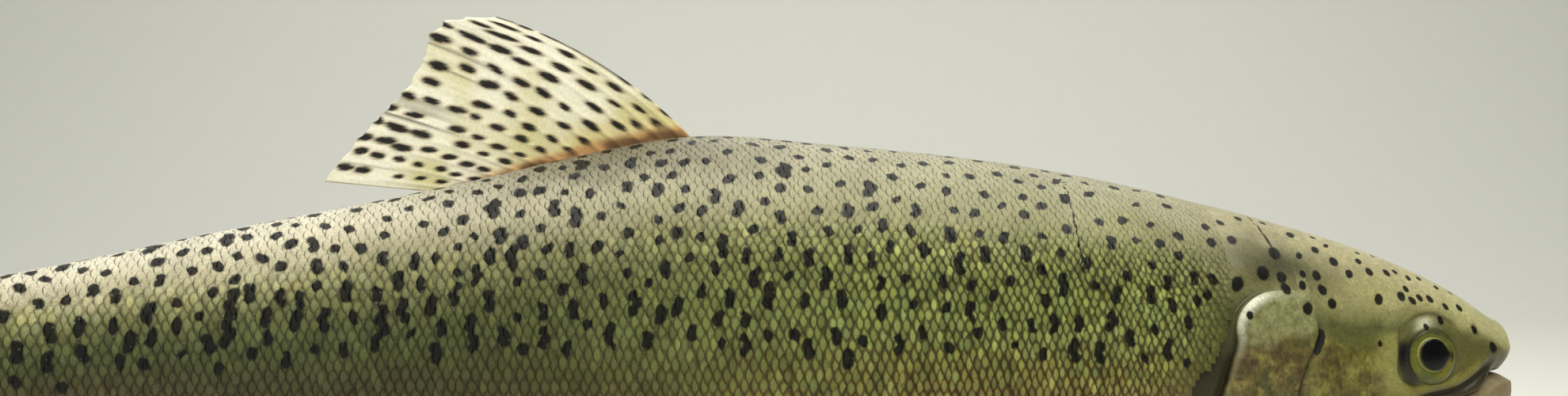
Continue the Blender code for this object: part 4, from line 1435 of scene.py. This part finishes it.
def dorsal_look(sheet, ray, way, ridge):
    """Cream and olive with a fleshy brown root, dusky streaks, dark spots and a marked front."""
    cloudy = noise(sheet, 9 * MM, 41)
    streaks = ease(noise(stack(ray * 40, way * 1.2, 0), 1.0, 42), (0.25, 0.75))
    dusky = ease(way, (0.42, 0.85)) * ease(ray, (0.10, 0.45))
    out = np.linalg.norm(sheet - sheet[:, :1], axis=-1) + 0.8 * MM * cloudy
    brown = ease(out, (9 * MM, 6 * MM)) * ease(noise(sheet * (1, 1, 2), 6 * MM, 43), (-0.05, 0.35))
    marks = ease(ray, (0.022, 0.012)) * ease(noise(stack(way * 11, 0), 1.0, 45), (0.0, 0.3))
    spots = {"rays": 13, "seed": 7, "step": 0.118, "first": 0.13, "last": 1.0, "fill": 0.92}
    clear_of_root = ease(way, (0.10, 0.16))
    halo = fin_spots(ray, way, **spots, wide=0.32, high=0.44) * clear_of_root
    ink = fin_spots(ray, way, **spots, wide=0.23, high=0.34) * clear_of_root
    # The cream grows paler towards the tip, partly painted light through the thin fin.
    paler = ease(cloudy + 1.1 * (way - 0.4), (-0.6, 0.6))
    return paint(
        mix(rgb(192, 186, 138), rgb(217, 214, 192), paler),
        (222, 219, 198, 0.35 * ridge * ease(way, (0.15, 0.5))),
        (54, 46, 34, 0.80 * dusky * streaks),
        (206, 182, 122, 0.5 * ease(way, (0.30, 0.08))),
        (172, 128, 76, 0.9 * ease(out, (10 * MM, 6.5 * MM))),
        (82, 58, 38, 0.85 * brown),
        (226, 220, 190, 0.6 * ease(ray, (0.035, 0.01)) * ease(way, (0.2, 0.4))),
        (150, 118, 66, 0.4 * halo),
        (5, 5, 6, 0.98 * np.maximum(ink, 0.8 * marks * ease(way, (0.3, 0.4)))),
    )


def tail_look(sheet, ray, way, ridge):
    """Olive with rows of spots. The colours of the side run on over the root."""
    cloudy = noise(sheet, 9 * MM, 51)
    colour = paint(
        mix(rgb(136, 130, 88), rgb(160, 150, 104), ease(cloudy, (-0.6, 0.6))),
        (112, 104, 68, 0.5 * ridge),
        (110, 108, 66, ease(way, (0.25, 0.05))),
        (84, 76, 54, ease(way, (0.88, 1.0)) * 0.6),
    )
    side = stops_at(TAIL_STOPS, 0.95 - 1.9 * ray) * 0.8
    colour = mix(colour, side, ease(way + 0.03 * cloudy, (0.30, 0.06)))
    ink = fin_spots(ray, way, 18, 17, 0.13, first=0.06, last=0.97, wide=0.33)
    return paint(colour, (12, 12, 11, 0.93 * ink))


def adipose_look(sheet, ray, way, ridge):
    """Olive with a dark margin in front and a few spots."""
    colour = mix(rgb(132, 128, 84), rgb(120, 114, 74), ease(noise(sheet, 3 * MM, 61), (-0.5, 0.5)))
    ink = fin_spots(ray, way, 3, 27, 0.34, first=0.45, wide=0.32, high=0.25)
    margin = ease(ray, (0.16, 0.02)) * ease(way, (0.3, 0.6))
    return paint(colour, (30, 28, 24, 0.9 * np.maximum(ink, margin)))


def lower_look(seed):
    """The look of a fin of the underside: warm cream, dusky to its tips, with a pale front."""

    def look(sheet, ray, way, ridge):
        cloudy = noise(sheet, 8 * MM, seed)
        streaks = ease(noise(stack(ray * 40, way * 1.3, 0), 1.0, seed + 1), (0.0, 0.8))
        return paint(
            mix(rgb(166, 148, 112), rgb(150, 142, 108), ease(cloudy, (-0.5, 0.5))),
            (96, 88, 64, 0.5 * streaks),
            (140, 112, 82, 0.45 * ridge),
            (178, 138, 108, 0.5 * ease(way, (0.35, 0.1))),
            (104, 96, 74, 0.6 * ease(way, (0.75, 1.0))),
            (228, 220, 206, 0.85 * ease(ray, (0.07, 0.02)) * ease(way, (0.05, 0.2))),
        )

    return look


def median_root(first, last, height):
    """Points under the back or the belly, on the middle plane, from one distance to another."""
    under = FIN_EMBED if height is back_height else -FIN_EMBED
    return [place(s, 0, height(s) - under) for s in np.linspace(first, last, 6)]


def in_plane(points):
    """World points on the body's middle plane, from (distance, height) fractions."""
    return [place(s, 0, up * BODY_LENGTH) for s, up in points]


# The tips of the rays of the fins on the middle plane, as (distance, height) fractions.
DORSAL_TIPS = (
    (0.574, 0.1864), (0.594, 0.1856), (0.609, 0.18), (0.617, 0.16), (0.64, 0.129), (0.668, 0.0935),
)
ADIPOSE_TIPS = ((0.872, 0.059), (0.886, 0.065), (0.898, 0.064), (0.898, 0.056), (0.884, 0.05))
ANAL_TIPS = ((0.788, -0.174), (0.803, -0.174), (0.820, -0.152), (0.841, -0.116), (0.862, -0.086))
TAIL_TIPS = (
    (1.136, 0.117), (1.15, 0.098), (1.135, 0.048), (1.122, -0.004), (1.135, -0.056),
    (1.152, -0.106), (1.138, -0.127),
)
# The paired fins: their roots as (distance, angle), their tips as (back, out, down) in
# millimetres from the foremost root, their bow, rays and the seed of their colours.
PAIRED_FINS = {
    "pectoral_fin": (
        ((0.222, 2.16), (0.229, 2.30), (0.239, 2.44)),
        ((64, 34, 17), (66, 30, 22), (60, 23, 28), (49, 16, 30), (36, 9, 27)),
        (0.06, 13, 81),
    ),
    "pelvic_fin": (
        ((0.520, 2.66), (0.528, 2.78), (0.537, 2.90)),
        ((48, 21, 19), (50, 17, 22), (46, 12, 23), (39, 7, 21), (31, 4, 16)),
        (0.05, 10, 91),
    ),
}


def make_fins(finish):
    root = median_root(0.460, 0.592, back_height)
    tips = in_plane(DORSAL_TIPS)
    fin_piece("dorsal_fin", root, tips, 12, dorsal_look, finish, 0.070, (0.5, 0, 0.85))
    root = median_root(0.850, 0.867, back_height)
    tips = in_plane(ADIPOSE_TIPS)
    fin_piece("adipose_fin", root, tips, 5, adipose_look, finish, 0.10, (0.5, 0, 0.8), 0.0042)
    root = median_root(0.725, 0.822, belly_height)
    tips = in_plane(ANAL_TIPS)
    fin_piece("anal_fin", root, tips, 11, lower_look(71), finish, 0.04, (0.5, 0, -0.85))
    stalk_end = 1.0 - FIN_EMBED / BODY_LENGTH
    root = in_plane([(stalk_end, up) for up in np.linspace(0.0425, -0.0545, 7)])
    fin_piece("caudal_fin", root, in_plane(TAIL_TIPS), 19, tail_look, finish, thick=0.0058)
    for side, word in SIDES:
        for name, (root_ends, tips, (bow, rays, seed)) in PAIRED_FINS.items():
            look = lower_look(seed + side)
            paired_fin(f"{name}_{word}", side, root_ends, tips, bow, rays, look, finish)


def paired_fin(node, side, root_ends, tips, bow, rays, look, finish):
    roots = [skin_point(s, angle, side, FIN_EMBED) for s, angle in root_ends]
    turn = float(yaw(root_ends[0][0]))
    back = np.array((-math.cos(turn), -math.sin(turn), 0))
    out = side * np.array((-math.sin(turn), math.cos(turn), 0))
    down = np.array((0, 0, -1))
    ends = [roots[0] + (b * back + o * out + d * down) / 1000 for b, o, d in tips]
    towards = out * 0.6 + down * 0.5
    fin_piece(node, smooth_line(roots, 4), ends, rays, look, finish, bow, towards)


# The eyes.

PUPIL_RADIUS = 0.00435
EYE_STEPS = 96
PUPIL_RINGS = 12
IRIS_RINGS = 40
EYE_RIM = 0.99  # of EYE_RADIUS, where the visible surface ends
PUPIL_SHIFT = (0.00035, 0.0006)  # the pupil sits a little forwards and upwards
BOWL_DEPTH = 0.0012  # of the shallow bowl that closes the ball behind


def eye_colours(turn, ring, radius, points, upwards, side):
    """The pupil, 0 to 1 in ring, and the iris with its streaks, blotches, dark wedge and painted
    shade on its upper part.
    """
    away = np.abs((turn + math.pi) % (2 * math.pi) - math.pi)
    places = stack(np.cos(turn) * 3, np.sin(turn) * 3, radius / (2 * MM))
    streaks = noise(places, 0.35, 5 + side) * 0.6 + noise(points, 0.5 * MM, 9) * 0.4
    blotches = noise(points, 1.6 * MM, 12)
    wedge = hump(away, 0.30) * ease(ring, (1.06, 1.14)) * ease(ring, (1.62, 1.42))
    colour = paint(
        mix(rgb(96, 98, 36), rgb(82, 86, 34), ease(ring, (1.1, 1.5))),
        (104, 94, 34, ease(blotches, (0.0, 0.7)) * 0.6),
        (64, 76, 40, ease(blotches, (0.0, -0.7)) * 0.6),
        # The upper part of the iris is darker with painted shade of the brow.
        (44, 46, 24, ease(upwards, (0.25, 0.75)) * ease(ring, (1.2, 1.6)) * 0.8),
    )
    return paint(
        shaded(colour, 1 + 0.25 * streaks),
        (22, 23, 14, wedge * 0.9),
        (136, 136, 70, hump(ring - 1.05, 0.04) * ease(away, (0.3, 0.8)) * 0.9),
        (28, 28, 16, ease(ring, (1.80, 1.90)) * 0.85),
        (3, 4, 4, ease(ring, (1.012, 0.995))),
    )


def make_eye(side, word, finish):
    centre, out, forward, up = (np.array(part) for part in eye_axes(side))
    turn = np.arange(EYE_STEPS)[:, None] * 2 * math.pi / EYE_STEPS
    away = np.abs((turn + math.pi) % (2 * math.pi) - math.pi)
    pupil = PUPIL_RADIUS * (1 + 0.09 * hump(away, 0.25) - 0.06 * hump(away - 0.6, 0.35))
    inner = np.linspace(0.02, 1, PUPIL_RINGS)
    outer = np.linspace(0, 1, IRIS_RINGS + 1)[1:]
    rim = EYE_RADIUS * EYE_RIM
    radius = np.concatenate([pupil * inner, pupil + (rim - pupil) * outer], axis=1)
    ring = np.concatenate([inner, 1 + outer])[None] + 0 * turn
    dome = np.sqrt(np.clip(1 - (radius / EYE_RADIUS) ** 2, 0, 1))
    lens = np.sqrt(np.clip(1 - (ring / 1.15) ** 2, 0, 1)) * 0.55 * MM
    sunk = -0.35 * MM * hump(ring - 1.12, 0.14) + 0.12 * MM * hump(ring - 1.55, 0.2)
    height = EYE_DEPTH * 0.62 * dome + np.where(ring <= 1, lens, sunk)
    keep = 1 - (radius / rim) ** 2
    x = radius * np.cos(turn) + PUPIL_SHIFT[0] * keep
    y = radius * np.sin(turn) + PUPIL_SHIFT[1] * keep
    points = centre + x[..., None] * forward + y[..., None] * up + height[..., None] * out
    colours = eye_colours(turn, ring, radius, points, y / rim, side)

    rings = points.shape[1]
    quads = grid_faces(EYE_STEPS, rings, closed=0)
    middle = np.arange(EYE_STEPS) * rings
    edge = middle + rings - 1
    top = EYE_STEPS * rings
    fan = stack(top, middle, np.roll(middle, -1))
    bowl = stack(top + 1, np.roll(edge, -1), edge)
    lens_top = points[:, 0].mean(axis=0)[None] + 0.00001 * out
    behind = centre - out * BOWL_DEPTH
    points = np.concatenate([points.reshape(-1, 3), lens_top, behind[None]])
    colours = np.concatenate([colours.reshape(-1, 3), [rgb(5, 6, 6)], [rgb(34, 34, 22)]])
    faces = [quads, np.concatenate([fan, bowl])]
    if side > 0:
        faces = [some[:, ::-1] for some in faces]
    obj = new_mesh(f"eyeball_{word}", points, faces, colours, finish)
    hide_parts(f"eye_{word}")


# The stand.


# The collar round the foot of each rod, as (radius, height): shares of the rod's radius, and
# millimetres above the base.
COLLAR = (
    (1.0, 9), (1.55, 8.6), (1.7, 7.6), (1.75, 4.4), (2.1, 3.2), (3.3, 2.2), (3.5, 1.6), (3.5, 0.05),
    (1.0, 0.05),
)
COLLAR_STEPS = 48


def make_collar(name, radius, middle, base_top, finish):
    """A collar turned round an upright line."""
    outline = np.array(COLLAR) * (radius, MM) + (0, base_top)
    turn = np.arange(COLLAR_STEPS) * 2 * math.pi / COLLAR_STEPS
    across = outline[:, :1]
    points = stack(across * np.cos(turn), across * np.sin(turn), outline[:, 1:])
    points = points.reshape(-1, 3) + (middle.x, middle.y, 0)
    faces = grid_faces(len(outline), COLLAR_STEPS, closed=1)
    obj = new_mesh(name, points, [faces], np.full((len(points), 3), 0.5), finish)


def make_stand():
    wood = wood_material()
    steel = steel_material()
    for name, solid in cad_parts.items():
        if name.startswith("stand_"):
            solid.data.materials.clear()
            solid.data.materials.append(wood if name == "stand_base" else steel)
    base_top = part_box("stand_base")[1].z
    for word in ("front", "rear"):
        low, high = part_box(f"stand_rod_{word}")
        radius = (high.x - low.x) / 2
        make_collar(f"stand_collar_{word}", radius, (low + high) / 2, base_top, steel)


# The studio.

CAMERA_PLACE = (0.0, -0.345, 0.2003)
CAMERA_LENS = 27.7
FLOOR_FRONT = -2.5
FLOOR_HALF_WIDTH = 4.0
SWEEP_STARTS = 1.6  # where the floor curves up into the wall behind
SWEEP_RADIUS = 0.9
WALL_HEIGHT = 4.0
# Name, place, target, size, power and colour of each light.
LIGHTS = (
    ("key", (0.15, -0.55, 1.25), (0, 0, 0.15), (1.3, 0.7), 24, (1.0, 0.98, 0.93)),
    ("fill", (-0.3, -1.5, 0.5), (0, 0, 0.14), (1.6, 0.8), 3.5, (0.98, 0.99, 1.0)),
    ("rim", (0.0, 0.9, 1.2), (0, 0, 0.18), (1.6, 0.5), 5, (1, 1, 1)),
    ("backdrop", (0.0, 0.6, 3.2), (0, 2.4, 0.2), (5.0, 1.2), 90, (1, 1, 1)),
)


def area_light(name, location, target, size, power, colour):
    light = bpy.data.lights.new(name, "AREA")
    light.shape = "RECTANGLE"
    light.size, light.size_y = size
    light.energy = power
    light.color = colour
    obj = bpy.data.objects.new(name, light)
    obj.location = location
    aim = Vector(target) - Vector(location)
    obj.rotation_euler = aim.to_track_quat("-Z", "Y").to_euler()
    bpy.context.scene.collection.objects.link(obj)


def make_floor():
    """A floor that curves up into a wall behind."""
    turn = np.linspace(0.1, math.pi / 2, 16)  # of the sweep
    flat = np.linspace(FLOOR_FRONT, SWEEP_STARTS, 12)
    wall = SWEEP_STARTS + SWEEP_RADIUS
    depth = np.concatenate([flat, SWEEP_STARTS + SWEEP_RADIUS * np.sin(turn), [wall]])
    rise = SWEEP_RADIUS - SWEEP_RADIUS * np.cos(turn)
    height = np.concatenate([0 * flat, rise, [WALL_HEIGHT]])
    across = np.linspace(-FLOOR_HALF_WIDTH, FLOOR_HALF_WIDTH, 9)
    points = stack(across, depth[:, None], height[:, None]).reshape(-1, 3)
    mesh = bpy.data.meshes.new("studio_floor")
    mesh.from_pydata(points.tolist(), [], grid_faces(len(depth), len(across)).tolist())
    mesh.polygons.foreach_set("use_smooth", np.ones(len(mesh.polygons), bool))
    mesh.materials.append(studio_material("studio_paper", rgb(214, 214, 204)))
    floor = bpy.data.objects.new("studio_floor", mesh)
    bpy.context.scene.collection.objects.link(floor)
    floor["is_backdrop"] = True


def make_studio():
    make_floor()
    for light in LIGHTS:
        area_light(*light)
    world = bpy.data.worlds.new("studio")
    bpy.context.scene.world = world
    world.use_nodes = True
    sky = world.node_tree.nodes["Background"]
    sky.inputs["Color"].default_value = (0.90, 0.92, 0.90, 1)
    sky.inputs["Strength"].default_value = 0.14

    camera = bpy.data.cameras.new("camera")
    camera.lens = CAMERA_LENS
    camera.clip_start = 0.01
    obj = bpy.data.objects.new("camera", camera)
    obj.location = CAMERA_PLACE
    obj.rotation_euler = (math.pi / 2, 0, 0)
    bpy.context.scene.collection.objects.link(obj)
    bpy.context.scene.camera = obj
    bpy.context.scene.view_settings.view_transform = "Standard"


def main():
    make_studio()
    skin, coat, fins, eyes = (painted_material(name, **look) for name, look in PAINTED.items())
    make_skin(skin)
    for side, word in SIDES:
        make_scales(side, word, coat)
        make_eye(side, word, eyes)
    make_fins(fins)
    make_stand()


main()
{name: [list(corner) for corner in box] for name, box in (("cad", CAD_BOX), ("visual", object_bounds()))}
